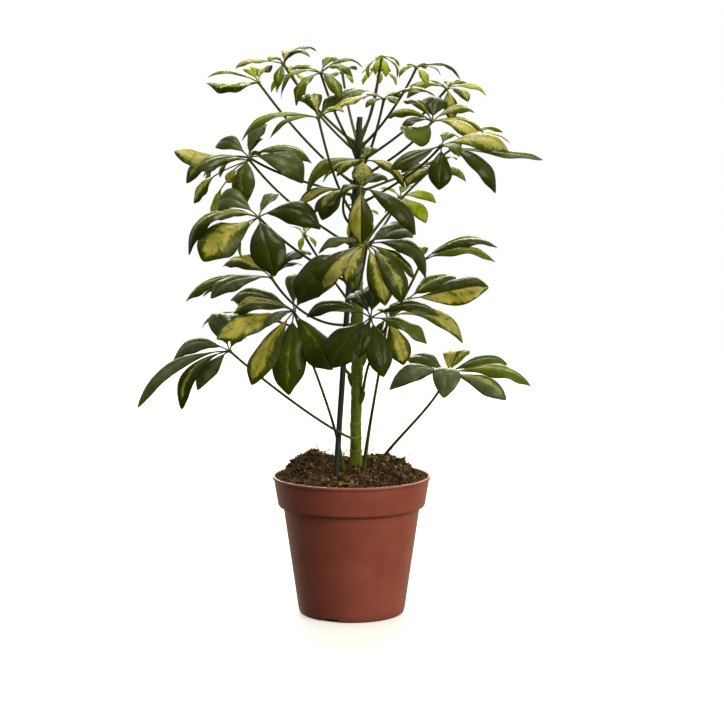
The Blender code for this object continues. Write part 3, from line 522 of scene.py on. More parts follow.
def leaflet_shell(leaf, leaflet, look):
    """One leaflet, from its stalk at the hub to its tip.

    The midrib is a quadratic curve whose middle handle stands off the straight line to the tip by the arch,
    with a small hook at the tip. Round it goes an ellipse: a circle on the stalk, and on the blade as wide as
    a power of a sine and as thick as a leaf. Each half of the blade rises off the midrib and then curls down
    to its edge, its margin waves, and the side veins are shallow dips between low swellings. The midrib is a
    groove above and a keel below.
    """
    reach, length, bow, side = leaflet_frame(leaf, leaflet)
    arch, roll, width = (*leaflet[3:], *USUAL_LEAFLET[len(leaflet) - 3:])
    seed, hook, drip, wave, waves, left, right, twist, curl = rng.random(9)
    rows = int(np.clip(length / BLADE_ROW, *BLADE_ROWS))
    even = np.linspace(0, 1, rows)
    along = (even * (1.3 - 0.3 * even))[:, None]
    across, upper = SECTION[None], SECTION_SIDE[None]

    handle = leaf.pull * reach + 2 * arch * length * bow
    middle = leaf.hub + 2 * along * (1 - along) * handle + along * along * reach
    droop = (0.02 + 0.09 * hook) * smooth(along, 0.66, 1.12) ** 1.5 - 0.03 * smooth(along, 0, 0.5)
    middle = middle - bow * length * droop
    normal = np.cross(side, unit(np.gradient(middle, axis=0)))
    blade = np.clip((along - leaf.leaflet_stalk) / (1 - leaf.leaflet_stalk), 0, 1)
    turn = math.radians(roll) * np.minimum(3 * blade, 1)
    turn = turn + math.radians(BLADE_TWIST) * (twist - 0.5) * blade**2
    over = side * np.cos(turn) - normal * np.sin(turn)
    up = normal * np.cos(turn) + side * np.sin(turn)

    cream, tone, youth, lean, bloom = LOOKS[look]
    pinch = 1 - (0.05 + 0.25 * drip) * smooth(blade, 0.82, 0.97)
    outline = np.sin(math.pi * blade ** (1.30 - 0.2 * drip)) ** 0.65 * pinch
    stalk = LEAFLET_STALK_RADIUS * (1 - 0.7 * smooth(along, leaf.leaflet_stalk, 1))
    slim = 1 - 0.25 * youth
    half = np.maximum(FULLNESS * slim * width * length / 2 * outline, stalk)
    leafy = smooth(blade, 0.0, 0.14)
    thick = stalk + (BLADE_HALF_THICKNESS - stalk) * leafy
    away = np.abs(across)
    phase = VEIN_PAIRS * blade - VEIN_SLANT * away
    lift = half * (BLADE_GROOVE * away - (0.4 + 0.35 * curl) * across**2)
    ripple = np.sin(TURN * ((1.3 + waves) * blade + np.where(across > 0, left, right)))
    lift = lift + half * (0.06 + 0.14 * wave) * min(1, 0.3 / width) ** 1.5 * across**2 * ripple
    lift = lift - VEIN_DIP * half * np.cos(TURN * phase) * away * (1 - away) * 4 * leafy
    near = np.exp(-((across * half / RIB_REACH) ** 2)) * leafy
    keel = np.where(upper > 0, -RIB_GROOVE, -RIB_KEEL * (1 - 0.6 * blade)) * near
    height = SECTION_HEIGHT * thick + lift + keel
    points = middle[:, None] + over[:, None] * (half * across)[..., None] + up[:, None] * height[..., None]
    return shells(points * MM, blade=(blade, across, upper), leaflet=(seed, cream, tone),
                  growth=(youth, lean, length), bloom=bloom)


def stem_at(height):
    """The stem's axis and radius at a height, in mm."""
    rows = np.array(STEM, float)
    return [np.interp(height, rows[:, 2], rows[:, column]) for column in (0, 1, 3)]


def leaf_root(leaf):
    """Where the stalk leaves the stem's axis or the soil, which way it sets out, and the radius there."""
    if leaf.in_soil:
        return np.array(leaf.root, float), UP, 0.0
    x, y, radius = stem_at(leaf.root)
    way = math.atan2(leaf.hub[1] - y, leaf.hub[0] - x) if leaf.way is None else math.radians(leaf.way)
    return np.array([x, y, leaf.root]), np.array([math.cos(way), math.sin(way), 0]), radius


def stalk_path(leaf):
    """A leaf stalk's middle line: straight out of the stem, then a cubic curve to the hub, in mm.

    The curve leaves outwards and reaches the hub from below it. A bend moves its middle aside and fades to
    nothing at both ends.
    """
    root, outward, radius = leaf_root(leaf)
    if leaf.in_soil:
        seat = root
        lead = root - [[0, 0, 6], [0, 0, 3]]
    else:
        seat = root + outward * (radius + STALK_SEAT)
        lead = np.linspace(root + outward * radius * 0.3, seat, 5)[:-1]
    span = np.linalg.norm(leaf.hub - seat)
    ahead = (leaf.hub - seat) / span
    leave = unit(leaf.leave * outward + ahead)
    arrive = unit(ahead + leaf.arrive * unit(leaf.facing))
    reach = span * HANDLE_SHARE
    t = np.linspace(0, 1, STALK_STEPS)[:, None]
    handles = (seat, seat + leave * reach, leaf.hub - arrive * reach, leaf.hub)
    weights = ((1 - t) ** 3, 3 * t * (1 - t) ** 2, 3 * t * t * (1 - t), t**3)
    curve = sum(weight * handle for weight, handle in zip(weights, handles))
    curve = curve + 4 * t * (1 - t) * leaf.bend
    return relaxed(np.concatenate([lead, curve]), STALK_EASING)


def stalk_shell(leaf):
    """The leaf stalk: faintly ribbed circles along its path, swollen at both ends."""
    path = stalk_path(leaf)
    run = np.concatenate([[0], np.cumsum(np.linalg.norm(np.diff(path, axis=0), axis=1))])
    level = np.array([leaf.hub[1] - path[0, 1], path[0, 0] - leaf.hub[0], 0.0])
    upright = unit(level) if np.linalg.norm(level) > 1 else np.array([0.0, 1.0, 0.0])
    swell = 1 + sum(more * np.exp(-run / fade) for more, fade in FOOT_SWELLS)
    swell = swell + HUB_SWELL[0] * np.exp(-(run[-1] - run) / HUB_SWELL[1])
    if leaf.in_soil:
        swell = swell + leaf.stout * np.exp(-((run / SOIL_SWELL_REACH) ** 2))
    ribs = 1 + STALK_RIB_HEIGHT * np.sin(STALK_RIBS * full_turn(STALK_COLUMNS))
    rings = tube(path, (STALK_RADIUS * swell)[:, None] * ribs, STALK_COLUMNS, upright)
    return shells(rings * MM, stalk=(run / run[-1])[:, None])


def hub_shell(leaf):
    """The hub: a button that faces as the crown does, with a low lobe for each leaflet."""
    tilt = np.linspace(0, math.pi, 12)[1:-1, None]
    path = leaf.hub - np.cos(tilt) * unit(leaf.facing) * HUB_HALF_HEIGHT
    lobes = 1 + HUB_LOBES * np.sin(len(leaf.leaflets) * full_turn(HUB_COLUMNS))
    upright = unit(np.cross(leaf.facing, (0.3, 1, 0.2)))
    rings = tube(path, HUB_RADIUS * np.sin(tilt) ** 0.8 * lobes, HUB_COLUMNS, upright)
    return shells(rings * MM, stalk=1.0)


def clasp_shell(root, outward, radius):
    """The clasp under a stalk's foot: circles along a curve that climbs the stem's side and bows outwards."""
    t = np.linspace(0, 1, 12)[:, None]
    low = root + outward * radius * 0.72 - UP * (7 + radius)
    knee = root + outward * (radius + 0.2) - UP * 1.5
    out = root + outward * (radius + 5.0) + UP * 1.6
    radii = 0.9 + 0.42 * radius * np.sin(math.pi * np.clip(t, 0.02, 1) ** 0.8) ** 0.8
    rings = tube(bow_curve(t, low, knee, out), radii, 12, np.cross(UP, outward))
    return shells(rings * MM, stalk=0.0)


def scale_shell(root, outward, radius):
    """The scale over a stalk's foot: flat ellipses that rise, lean off the stem and narrow to a tip."""
    t = np.linspace(0, 1, 8)[:, None]
    rise = 5.5 * smooth(radius, 2, 6) + 2.5
    path = root + outward * (radius * 0.9 + 0.9 * np.sin(math.pi * t * 0.8)) + UP * (t * rise + 0.8)
    around = full_turn(10)
    wide = (0.38 * radius * (1 - t**1.6) + 0.18) * np.cos(around)
    flat = (0.5 * (1 - t) + 0.2) * np.sin(around)
    rings = path[:, None] + np.cross(UP, outward) * wide[..., None] + outward * flat[..., None]
    return shells(rings * MM, stalk=0.02)


def build_leaves(blade, stalk):
    """Two pieces for each leaf: its blades, and its stalk with what is at the stalk's ends."""
    for number, leaf in enumerate(LEAVES, 1):
        name = f"leaf_{number:02d}"
        blades = [leaflet_shell(leaf, leaflet, look) for leaflet, look in zip(leaf.leaflets, leaf.looks)]
        stalks = [stalk_shell(leaf), hub_shell(leaf)]
        if not leaf.in_soil:
            foot = leaf_root(leaf)
            stalks += [clasp_shell(*foot), scale_shell(*foot)]
        make_piece(name + "_blades", blades, blade, [name])
        make_piece(name + "_stalk", stalks, stalk, [name])


# ---------------------------------------------------------------- stem and cane


def build_stem(finish):
    """The stem: circles along its axis, a low ring where each leaf is or was, and a domed top."""
    rows = np.array(STEM, float)
    height = np.arange(rows[0, 2], rows[-1, 2] + 0.1, 1.0)
    middle, radius = (relaxed(np.interp(height, rows[:, 2], rows[:, i]), STEM_EASING) for i in (0, 3))
    for ring in (*[leaf.root for leaf in LEAVES if not leaf.in_soil], *OLD_NODES):
        above = height - ring
        ridge = RING_HEIGHT * np.exp(-((above / RING_REACH) ** 2))
        hollow = HOLLOW_DEPTH * np.exp(-(((above - HOLLOW_ABOVE) / HOLLOW_REACH) ** 2))
        radius += ridge - hollow
    axis = np.stack([middle, 0 * height, height], -1)
    dome = np.linspace(0, 1, 10)[1:, None]
    path = np.concatenate([axis, axis[-1] + dome * UP * STEM_DOME])
    radius = np.concatenate([radius, radius[-1] * np.sqrt(1 - dome[:, 0] ** 2 * 0.985)])
    spots = round_axis(6, full_turn(STEM_COLUMNS), path[:, 2:])
    rough = 0.5 * (noise(spots * [1, 1, 0.35], 3.1) - 0.5) + 0.3 * (noise(spots, 1.5) - 0.5)
    rings = tube(path, radius[:, None] + rough * smooth(radius, 0.5, 3)[:, None], STEM_COLUMNS, (0, 1, 0))
    make_piece("main_stem_bark", [shells(rings * MM)], finish, ["main_stem"])


def build_cane(finish):
    """The cane: circles along a straight line, with a bevel at each square-cut end and shallow flutes."""
    length = np.linalg.norm(CANE_TOP - CANE_FOOT)
    edges = [0, CANE_FOOT_BEVEL, length - CANE_TOP_BEVEL, length]
    run = np.sort([*edges, 0.15, length - 0.12, *np.linspace(1.5, length - 1.5, CANE_ROWS)])
    inset = np.interp(run, edges, [CANE_FOOT_BEVEL, 0, 0, CANE_TOP_BEVEL])
    path = CANE_FOOT + (CANE_TOP - CANE_FOOT) * (run / length)[:, None]
    spots = round_axis(3, full_turn(CANE_COLUMNS), run[:, None] * 0.06)
    rough = CANE_FLUTES * (noise(spots, 1.3) - 0.5)
    rings = tube(path, (CANE_RADIUS - inset)[:, None] + rough, CANE_COLUMNS, (0, 1, 0))
    make_piece("support_cane_rod", [shells(rings * MM)], finish, ["support_cane"], 40)


# ---------------------------------------------------------------- pot


def rounded(corners, steps=4):
    """A run of points with each inner corner made a quadratic arc, as long as its third number allows."""
    places, reach = np.split(np.array(corners, float), [2], axis=1)
    before, here, after = places[:-2], places[1:-1], places[2:]
    back, on = before - here, after - here
    limit = np.minimum(np.linalg.norm(back, axis=1), np.linalg.norm(on, axis=1))[:, None] * 0.48
    cut = np.minimum(reach[1:-1], limit)
    begin, end = here + unit(back) * cut, here + unit(on) * cut
    t = np.linspace(0, 1, steps + 1)[None, :, None]
    arcs = bow_curve(t, begin[:, None], here[:, None], end[:, None])
    return np.concatenate([places[:1], arcs.reshape(-1, 2), places[-1:]])


def divided(outline, longest):
    """The outline with extra points along any stretch longer than this."""
    made = [outline[:1]]
    for begin, end in zip(outline[:-1], outline[1:]):
        count = max(1, math.ceil(np.linalg.norm(end - begin) / longest))
        made.append(begin + (end - begin) * (np.arange(1, count + 1) / count)[:, None])
    return np.concatenate(made)


def pot_outline():
    """The pot's wall from the middle of its underside, up outside, over the rim and down to its floor."""
    floor_top = GUTTER_HEIGHT + WALL
    corners = [  # radius, height, reach of the rounding
        (0.0006, 0.0, 0),
        (CENTRE_DISC_RADIUS, 0.0, 0.0008),
        (CENTRE_DISC_RADIUS + 0.001, GUTTER_HEIGHT, 0.0008),
        (FOOT_INNER_RADIUS - 0.001, GUTTER_HEIGHT, 0.0008),
        (FOOT_INNER_RADIUS, 0.0, 0.0008),
        (FOOT_OUTER_RADIUS, 0.0, 0.0015),
        (BASE_RADIUS - 0.0008, BASE_CORNER * 0.4, 0.0020),
        (BASE_RADIUS + 0.0004, BASE_CORNER + 0.002, 0.0025),
        (BODY_TOP_RADIUS, BODY_TOP_HEIGHT, 0.0012),
        (BODY_TOP_RADIUS + 0.0016, COLLAR_FOOT_HEIGHT - 0.0010, 0.0015),
        (COLLAR_FOOT_RADIUS - 0.0008, COLLAR_FOOT_HEIGHT - 0.0006, 0.0012),
        (COLLAR_FOOT_RADIUS + 0.0008, COLLAR_FOOT_HEIGHT + 0.0010, 0.0012),
        (COLLAR_TOP_RADIUS, RIM_HEIGHT - LIP_HEIGHT - 0.0004, 0.0008),
        (RIM_RADIUS - 0.0002, RIM_HEIGHT - LIP_HEIGHT + 0.0003, 0.0008),
        (RIM_RADIUS, RIM_HEIGHT - 0.0008, 0.0010),
        (RIM_RADIUS - 0.0016, RIM_HEIGHT, 0.0010),
        (COLLAR_TOP_RADIUS - WALL, RIM_HEIGHT - 0.0010, 0.0010),
        (COLLAR_FOOT_RADIUS - WALL, COLLAR_FOOT_HEIGHT + 0.0010, 0.0010),
        (BODY_TOP_RADIUS - WALL, BODY_TOP_HEIGHT, 0.0010),
        (BASE_RADIUS - WALL, floor_top + 0.002, 0.0020),
        (BASE_RADIUS - WALL - 0.002, floor_top, 0.0015),
        (0.0006, floor_top, 0),
    ]
    return divided(rounded(corners), POT_STRETCH)


def build_pot(finish):
    """The pot: its outline turned about +Z, with its foot lifted in each notch, and bored for drains."""
    radius, height = np.split(pot_outline(), 2, axis=1)
    turn = full_turn(POT_COLUMNS)
    offsets = [(turn - math.radians(FIRST_NOTCH_TURN) - TURN * i / NOTCHES + math.pi) % TURN - math.pi
               for i in range(NOTCHES)]
    nearest = np.min(np.abs(offsets), axis=0) * BASE_RADIUS
    notch = 1 - smooth(nearest, NOTCH_WIDTH / 2 - NOTCH_EDGE, NOTCH_WIDTH / 2 + NOTCH_EDGE)
    foot = smooth(radius, FOOT_INNER_RADIUS - 0.0025, FOOT_INNER_RADIUS - 0.0015)
    lifted = np.maximum(height, GUTTER_HEIGHT * notch * foot)
    oval = 1 + OUT_OF_ROUND * np.cos(2 * turn + 0.7) * smooth(height, 0.02, RIM_HEIGHT)
    rings = round_axis(np.minimum(radius * oval, RIM_RADIUS), turn, lifted)
    pot = make_piece("pot_shell", [shells(rings)], finish, ["pot"], 35)
    bore_drains(pot)


def bore_drains(pot):
    """Drain holes: an upright rod through the floor for each, all cut out of the pot at once."""
    turn = full_turn(DRAIN_HOLES)[:, None]
    floor = np.array([GUTTER_HEIGHT - DRAIN_BORE_SPARE, GUTTER_HEIGHT + WALL + DRAIN_BORE_SPARE])
    paths = round_axis(DRAIN_HOLE_CIRCLE, turn, floor)
    rods = shells(np.stack([tube(path, [DRAIN_HOLE_RADIUS] * 2, 32, (0, 1, 0)) for path in paths]))
    drains = bpy.data.meshes.new("drains")
    drains.from_pydata(rods["points"].tolist(), [], rods["quads"].tolist() + rods["fans"].tolist())
    cutter = add_object("drains", drains)
    cut = pot.modifiers.new("drains", "BOOLEAN")
    cut.operation = "DIFFERENCE"
    cut.object = cutter
    graph = bpy.context.evaluated_depsgraph_get()
    bored = bpy.data.meshes.new_from_object(pot.evaluated_get(graph))
    pot.modifiers.clear()
    pot.data = bored
    bpy.data.objects.remove(cutter)


# ---------------------------------------------------------------- soil


def soil_wall_radius(height):
    """Radius of the inside of the pot's collar at a height."""
    return COLLAR_FOOT_RADIUS - WALL + (height - COLLAR_FOOT_HEIGHT) * COLLAR_SLOPE


def soil_top(x, y):
    """Height of the crumbly top: its edge, a low dome that is zero at the wall, the mounds, and lumps."""
    inside = np.clip(1 - (x * x + y * y) / (INNER_RIM_RADIUS * INNER_RIM_RADIUS), 0, 1)
    rise = SOIL_CENTRE_RISE * inside**0.7
    for mound_x, mound_y, reach, height in MOUNDS:
        distance = ((x - mound_x) ** 2 + (y - mound_y) ** 2) / (reach * reach)
        rise = rise + height * np.exp(-distance) * np.minimum(1, 3 * inside)
    spots = np.stack(np.broadcast_arrays(x, y, 0.3), -1)
    lumps = sum(depth * (noise(spots + size * 7, size) - 0.5) for size, depth in LUMPS)
    from_wall = np.clip(1 - np.hypot(x, y) / INNER_RIM_RADIUS, 0, 1)
    return SOIL_EDGE_HEIGHT + rise + lumps * (0.55 + 0.45 * smooth(from_wall, 0, 0.1))


def on_soil(reach, turn):
    """Points of the soil's top at a reach and a turn round +Z."""
    x, y = reach * np.cos(turn), reach * np.sin(turn)
    return np.stack([x, y, soil_top(x, y)], -1)


def build_soil(finish, crumb_finish, fibre_finish):
    """The soil: rings from the middle of its foot, up the wall of the pot and in over its lumpy top."""
    edge = soil_wall_radius(SOIL_EDGE_HEIGHT) - 0.0003
    collar_foot = (soil_wall_radius(COLLAR_FOOT_HEIGHT) - 0.0006, COLLAR_FOOT_HEIGHT + 0.0015)
    radius, height = np.split(np.array([*SOIL_FOOT, collar_foot]), 2, axis=1)
    turn = full_turn(SOIL_COLUMNS)
    reach = edge * np.linspace(1, 0.004, SOIL_RINGS)[:, None]
    rings = np.concatenate([round_axis(radius, turn, height), on_soil(reach, turn)])
    make_piece("soil_heap", [shells(rings)], finish, ["soil"], 80)
    build_crumbs(crumb_finish, edge)
    build_fibres(fibre_finish, edge)


def scattered(draw, many, edge):
    """Places spread evenly over the soil's top, out to nearly its edge."""
    reach = edge * np.sqrt(draw.random(many)) * SCATTER_SHARE
    return on_soil(reach, TURN * draw.random(many))


def build_crumbs(finish, edge):
    """Loose crumbs: small balls whose every point stands a random way in or out, each flattened a little."""
    draw = np.random.default_rng(23)
    rows, columns = 4, 6
    tilt = np.linspace(0, math.pi, rows + 2)[1:-1, None]
    ball = round_axis(np.sin(tilt), full_turn(columns), np.cos(tilt))
    size = 0.0004 + 0.0019 * draw.random(CRUMBS) ** 3.5
    uneven = 0.55 + 0.9 * draw.random((CRUMBS, rows, columns, 1))
    squash = 0.6 + 0.6 * draw.random((CRUMBS, 1, 1, 3))
    places = scattered(draw, CRUMBS, edge - 0.002)
    places[:, 2] += size * (0.1 + 0.8 * draw.random(CRUMBS) ** 3)
    rings = ball * uneven * squash * size[:, None, None, None] + places[:, None, None]
    crumbs = shells(rings, shade=draw.random(CRUMBS)[:, None, None])
    make_piece("soil_crumbs", [crumbs], finish, (), 50)


def build_fibres(finish, edge):
    """Coarse peat fibres: thin four-sided strands that start in the soil and curve up and over."""
    draw = np.random.default_rng(29)
    rows, columns = 9, 4
    along = np.linspace(0, 1, rows)[None, :, None]
    places = scattered(draw, FIBRES, edge - 0.004)[:, None]
    turn = TURN * draw.random((FIBRES, 1, 1))
    flat = np.concatenate([np.cos(turn), np.sin(turn), 0 * turn], -1)
    length = 0.006 + 0.016 * draw.random((FIBRES, 1, 1)) ** 1.6
    steep = draw.random((FIBRES, 1, 1)) ** 1.8
    bend = (draw.random((FIBRES, 1, 1)) - 0.5) * 1.6
    aside = np.cross(UP, flat)
    rise = length * steep * 0.75 * np.sin(math.pi * 0.62 * along) - 0.0012 * (1 - along)
    path = places + flat * length * along * (1.05 - 0.6 * steep) + aside * bend * length * along**2
    path = path + (rise + 0.0008) * UP
    thick = (0.0002 + 0.0003 * draw.random((FIBRES, 1, 1)) ** 2) * (1.1 - 0.8 * along)
    around = full_turn(columns)[:, None]
    rings = path[:, :, None] + thick[..., None] * (np.cos(around) * aside[:, :, None] + np.sin(around) * UP)
    fibres = shells(rings, shade=draw.random(FIBRES)[:, None, None])
    make_piece("soil_fibres", [fibres], finish)


# ---------------------------------------------------------------- finishes


def colour(red, green, blue):
    """A linear colour from one on the usual 0 to 255 scale."""
    value = np.array([red, green, blue]) / 255
    linear = np.where(value <= 0.04045, value / 12.92, ((value + 0.055) / 1.055) ** 2.4)
    return (*linear.tolist(), 1.0)


def fill(made, inputs):
    """Sets each input of a node to a value, or joins it to another node's output."""
    for key, value in inputs.items():
        if isinstance(value, bpy.types.NodeSocket):
            made.id_data.links.new(value, made.inputs[key])
        else:
            made.inputs[key].default_value = value


def node(tree, kind, inputs, **settings):
    """A node with its settings and its inputs. Returns its outputs."""
    made = tree.nodes.new(kind)
    for name, value in settings.items():
        setattr(made, name, value)
    fill(made, inputs)
    return made.outputs


def calc(tree, operation, first, second=0.0, third=0.0):
    """A maths node of this operation."""
    return node(tree, "ShaderNodeMath", {0: first, 1: second, 2: third}, operation=operation)[0]


def product(tree, first, second):
    """One value times another."""
    return calc(tree, "MULTIPLY", first, second)


def line(tree, value, slope, start):
    """A value times a slope, plus a start."""
    return calc(tree, "MULTIPLY_ADD", value, slope, start)


def step(tree, value, low, high, start=0.0, end=1.0):
    """A smooth step from start to end as the value goes from low to high."""
    inputs = {"Value": value, "From Min": low, "From Max": high, "To Min": start, "To Max": end}
    return node(tree, "ShaderNodeMapRange", inputs, interpolation_type="SMOOTHSTEP")[0]


def mixed(tree, share, first, second, blend="MIX"):
    """Two colours mixed by a share."""
    return node(tree, "ShaderNodeMix", {0: share, 6: first, 7: second}, data_type="RGBA", blend_type=blend)[2]


def layered(tree, base, *layers):
    """A colour with others laid over it in turn, each given by its share and its red, green and blue."""
    for share, over in layers:
        base = mixed(tree, share, base, colour(*over))
    return base


def shaded(tree, base, shade):
    """A colour made darker or lighter by a factor."""
    return mixed(tree, 1.0, base, vector_of(tree, shade, shade, shade), "MULTIPLY")


def grain(tree, vector, scale, detail=2.0, rough=0.5):
    """Cloudy random values from 0 to 1."""
    inputs = {"Vector": vector, "Scale": scale, "Detail": detail, "Roughness": rough}
    return node(tree, "ShaderNodeTexNoise", inputs)["Fac"]


def vector_of(tree, x, y, z):
    """A vector from its three parts."""
    return node(tree, "ShaderNodeCombineXYZ", {"X": x, "Y": y, "Z": z})[0]


def parts_of(tree, vector):
    """The three parts of a vector."""
    return node(tree, "ShaderNodeSeparateXYZ", {0: vector})


def mark(tree, name, output="Fac"):
    """A mark that the mesh carries: a value, or a vector."""
    return node(tree, "ShaderNodeAttribute", {}, attribute_name=name)[output]


def place(tree):
    """The place of each point, in metres."""
    return node(tree, "ShaderNodeTexCoord", {})["Object"]


def axis_distance(tree, x, y):
    """Distance from the pot's axis."""
    return calc(tree, "SQRT", calc(tree, "ADD", product(tree, x, x), product(tree, y, y)))


def relief(tree, height, depth, strength=1.0):
    """The normal of a surface raised by a height from 0 to 1 times a depth."""
    return node(tree, "ShaderNodeBump", {"Height": height, "Distance": depth, "Strength": strength})[0]


def new_group(name, inputs, outputs):
    """An empty node group whose inputs are named with their kinds and whose outputs are values."""
    tree = bpy.data.node_groups.new(name, "ShaderNodeTree")
    for socket, kind in inputs.items():
        tree.interface.new_socket(socket, in_out="INPUT", socket_type="NodeSocket" + kind)
    for socket in outputs:
        tree.interface.new_socket(socket, in_out="OUTPUT", socket_type="NodeSocketFloat")
    return tree, tree.nodes.new("NodeGroupInput").outputs, tree.nodes.new("NodeGroupOutput")


def mottling_group():
    """Mottling: broad soft clouds and fine specks, from -0.5 to 0.5, by which a colour or a gloss varies."""
    tree, given, end = new_group("mottling", {"Vector": "Vector", "Scale": "Float"}, ["Clouds", "Specks"])
    clouds = grain(tree, given["Vector"], given["Scale"], 3.0, 0.55)
    specks = grain(tree, given["Vector"], product(tree, given["Scale"], 9.0), 2.0, 0.6)
    fill(end, {"Clouds": calc(tree, "SUBTRACT", clouds, 0.5), "Specks": calc(tree, "SUBTRACT", specks, 0.5)})
    return tree


def lengthwise_group():
    """Lengthwise grain of a stem or a stick: fine lines drawn out along Z, and scattered pale pores."""
    inputs = {"Vector": "Vector", "Scale": "Float", "Stretch": "Float"}
    tree, given, end = new_group("lengthwise_grain", inputs, ["Lines", "Pores"])
    x, y, z = parts_of(tree, given["Vector"])
    drawn = vector_of(tree, x, y, calc(tree, "DIVIDE", z, given["Stretch"]))
    lines = grain(tree, drawn, given["Scale"], 3.0, 0.65)
    cells = node(tree, "ShaderNodeTexVoronoi", {
        "Vector": vector_of(tree, x, y, product(tree, z, 0.45)),
        "Scale": product(tree, given["Scale"], 0.8),
    })
    pores = step(tree, cells["Distance"], 0.16, 0.08)
    fill(end, {"Lines": calc(tree, "SUBTRACT", lines, 0.5), "Pores": pores})
    return tree


MOTTLING = mottling_group()
LENGTHWISE = lengthwise_group()


def mottled(tree, scale):
    """The clouds and the specks of the mottling at a scale."""
    return node(tree, "ShaderNodeGroup", {"Vector": place(tree), "Scale": scale}, node_tree=MOTTLING)


def grained(tree, scale, stretch):
    """The lines and the pores of the lengthwise grain at a scale."""
    inputs = {"Vector": place(tree), "Scale": scale, "Stretch": stretch}
    return node(tree, "ShaderNodeGroup", inputs, node_tree=LENGTHWISE)


def new_finish(name):
    """A material, its node tree and its Principled shader."""
    finish = bpy.data.materials.new(name)
    finish.use_nodes = True
    return finish, finish.node_tree, finish.node_tree.nodes["Principled BSDF"]


def blade_finish():
    """Variegated blade.

    Three zones lie one inside the other round the midrib: cream, a patchy middle green, and the dark green
    of the margin. How far out the cream goes varies slowly from one side vein to the next, and quickly in
    teeth that point along the veins. The middle green shows where a cloudy noise lifts the distance to the
    cream's edge over a limit, and the same way green patches and an olive flush lie inside the cream. A pale
    midrib, a dark rim, a duller, paler underside and, on some, a patchy painted grey sheen on the upper side
    come over them. Light shines through.
    """
    finish, tree, shader = new_finish("variegated_blade")
    along, across, upper = parts_of(tree, mark(tree, "blade", "Vector"))
    seed, cream, tone = parts_of(tree, mark(tree, "leaflet", "Vector"))
    youth, lean, length = parts_of(tree, mark(tree, "growth", "Vector"))
    away = calc(tree, "ABSOLUTE", across)
    half = calc(tree, "SIGN", across)
    phase = line(tree, along, VEIN_PAIRS, product(tree, away, -VEIN_SLANT))
    apart = line(tree, seed, 61.0, product(tree, half, 7.0))
    clouds, specks = mottled(tree, 90.0)

    def streaks(by_vein, outwards, offset, detail):
        """Noise that is drawn out along the side veins, from -0.5 to 0.5."""
        spot = vector_of(tree, product(tree, phase, by_vein), product(tree, away, outwards),
                         calc(tree, "ADD", apart, offset))
        return calc(tree, "SUBTRACT", grain(tree, spot, 1.0, detail, 0.65), 0.5)

    reach = line(tree, lean, half, cream)
    reach = line(tree, streaks(0.6, 0.5, 0.0, 1.0), 0.8, reach)
    reach = line(tree, streaks(6.5, 1.6, 0.0, 3.0), 0.6, reach)
    reach = calc(tree, "SUBTRACT", reach, step(tree, along, 0.80, 1.0, 0.0, 0.6))
    inside = calc(tree, "SUBTRACT", reach, away)
    creamy = step(tree, inside, -0.015, 0.02)
    marbled = step(tree, line(tree, streaks(2.4, 2.2, 5.0, 3.0), 1.0, inside), -0.20, -0.13)
    patches = step(tree, streaks(1.3, 1.7, 3.0, 3.0), 0.10, 0.12)
    patches = product(tree, patches, step(tree, youth, 0.9, 0.2, 0.15, 0.85))
    flush = step(tree, streaks(0.5, 0.9, 9.0, 2.0), -0.08, 0.16, 0.0, 0.55)

    dark = mixed(tree, tone, colour(66, 75, 16), colour(106, 120, 28))
    middle = mixed(tree, tone, colour(90, 104, 26), colour(128, 138, 34))
    pale = mixed(tree, youth, colour(186, 177, 114), colour(160, 168, 20))
    olive = mixed(tree, youth, colour(138, 134, 60), colour(114, 128, 20))
    pale = mixed(tree, patches, mixed(tree, flush, pale, olive), middle)
    base = mixed(tree, creamy, mixed(tree, marbled, dark, middle), pale)
    rib_half = calc(tree, "DIVIDE", 1.7, length)
    rib = step(tree, away, rib_half, product(tree, rib_half, 0.35))
    rim = step(tree, away, 0.90, 0.97)
    base = layered(
        tree, base, (product(tree, rib, 0.25), (150, 165, 80)), (product(tree, rim, 0.8), (42, 50, 12)))
    base = shaded(tree, base, line(tree, clouds, 0.55, 1.0))
    under = step(tree, upper, 0.2, -0.2)
    base = layered(tree, base, (product(tree, under, 0.30), (116, 128, 44)))
    # Painted sheen: a pale grey laid in patches over the upper side of some leaflets in place of reflected
    # light, none at the margin.
    bloom = mark(tree, "bloom")
    for share in (
        step(tree, clouds, -0.2, 0.2, 0.38, 0.85),
        step(tree, streaks(0.8, 1.2, 13.0, 3.0), -0.15, 0.12, 0.55, 1.0),
        step(tree, away, 0.97, 0.86),
        calc(tree, "SUBTRACT", 1.0, under),
    ):
        bloom = product(tree, bloom, share)

    vein = step(tree, calc(tree, "PINGPONG", phase, 0.5), 0.12, 0.0)
    vein = product(tree, vein, step(tree, away, 1.0, 0.55))
    pucker = line(tree, specks, 0.12, grain(tree, place(tree), 170.0, 1.0, 0.5))
    normal = relief(tree, line(tree, vein, -0.12, pucker), 0.0006, 0.8)
    fill(shader, {
        "Base Color": layered(tree, base, (bloom, (144, 150, 132))),
        "Roughness": line(tree, under, 0.15, line(tree, specks, 0.14, 0.27)),
        "Normal": normal,
        "IOR": 1.45,
        "Specular IOR Level": 0.4,
    })
    through = node(tree, "ShaderNodeHueSaturation", {"Saturation": 1.3, "Value": 1.9, "Color": base})[0]
    glow = node(tree, "ShaderNodeBsdfTranslucent", {"Color": through, "Normal": normal})[0]
    both = node(tree, "ShaderNodeMixShader", {0: 0.42, 1: shader.outputs[0], 2: glow})[0]
    fill(tree.nodes["Material Output"], {"Surface": both})
    return finish


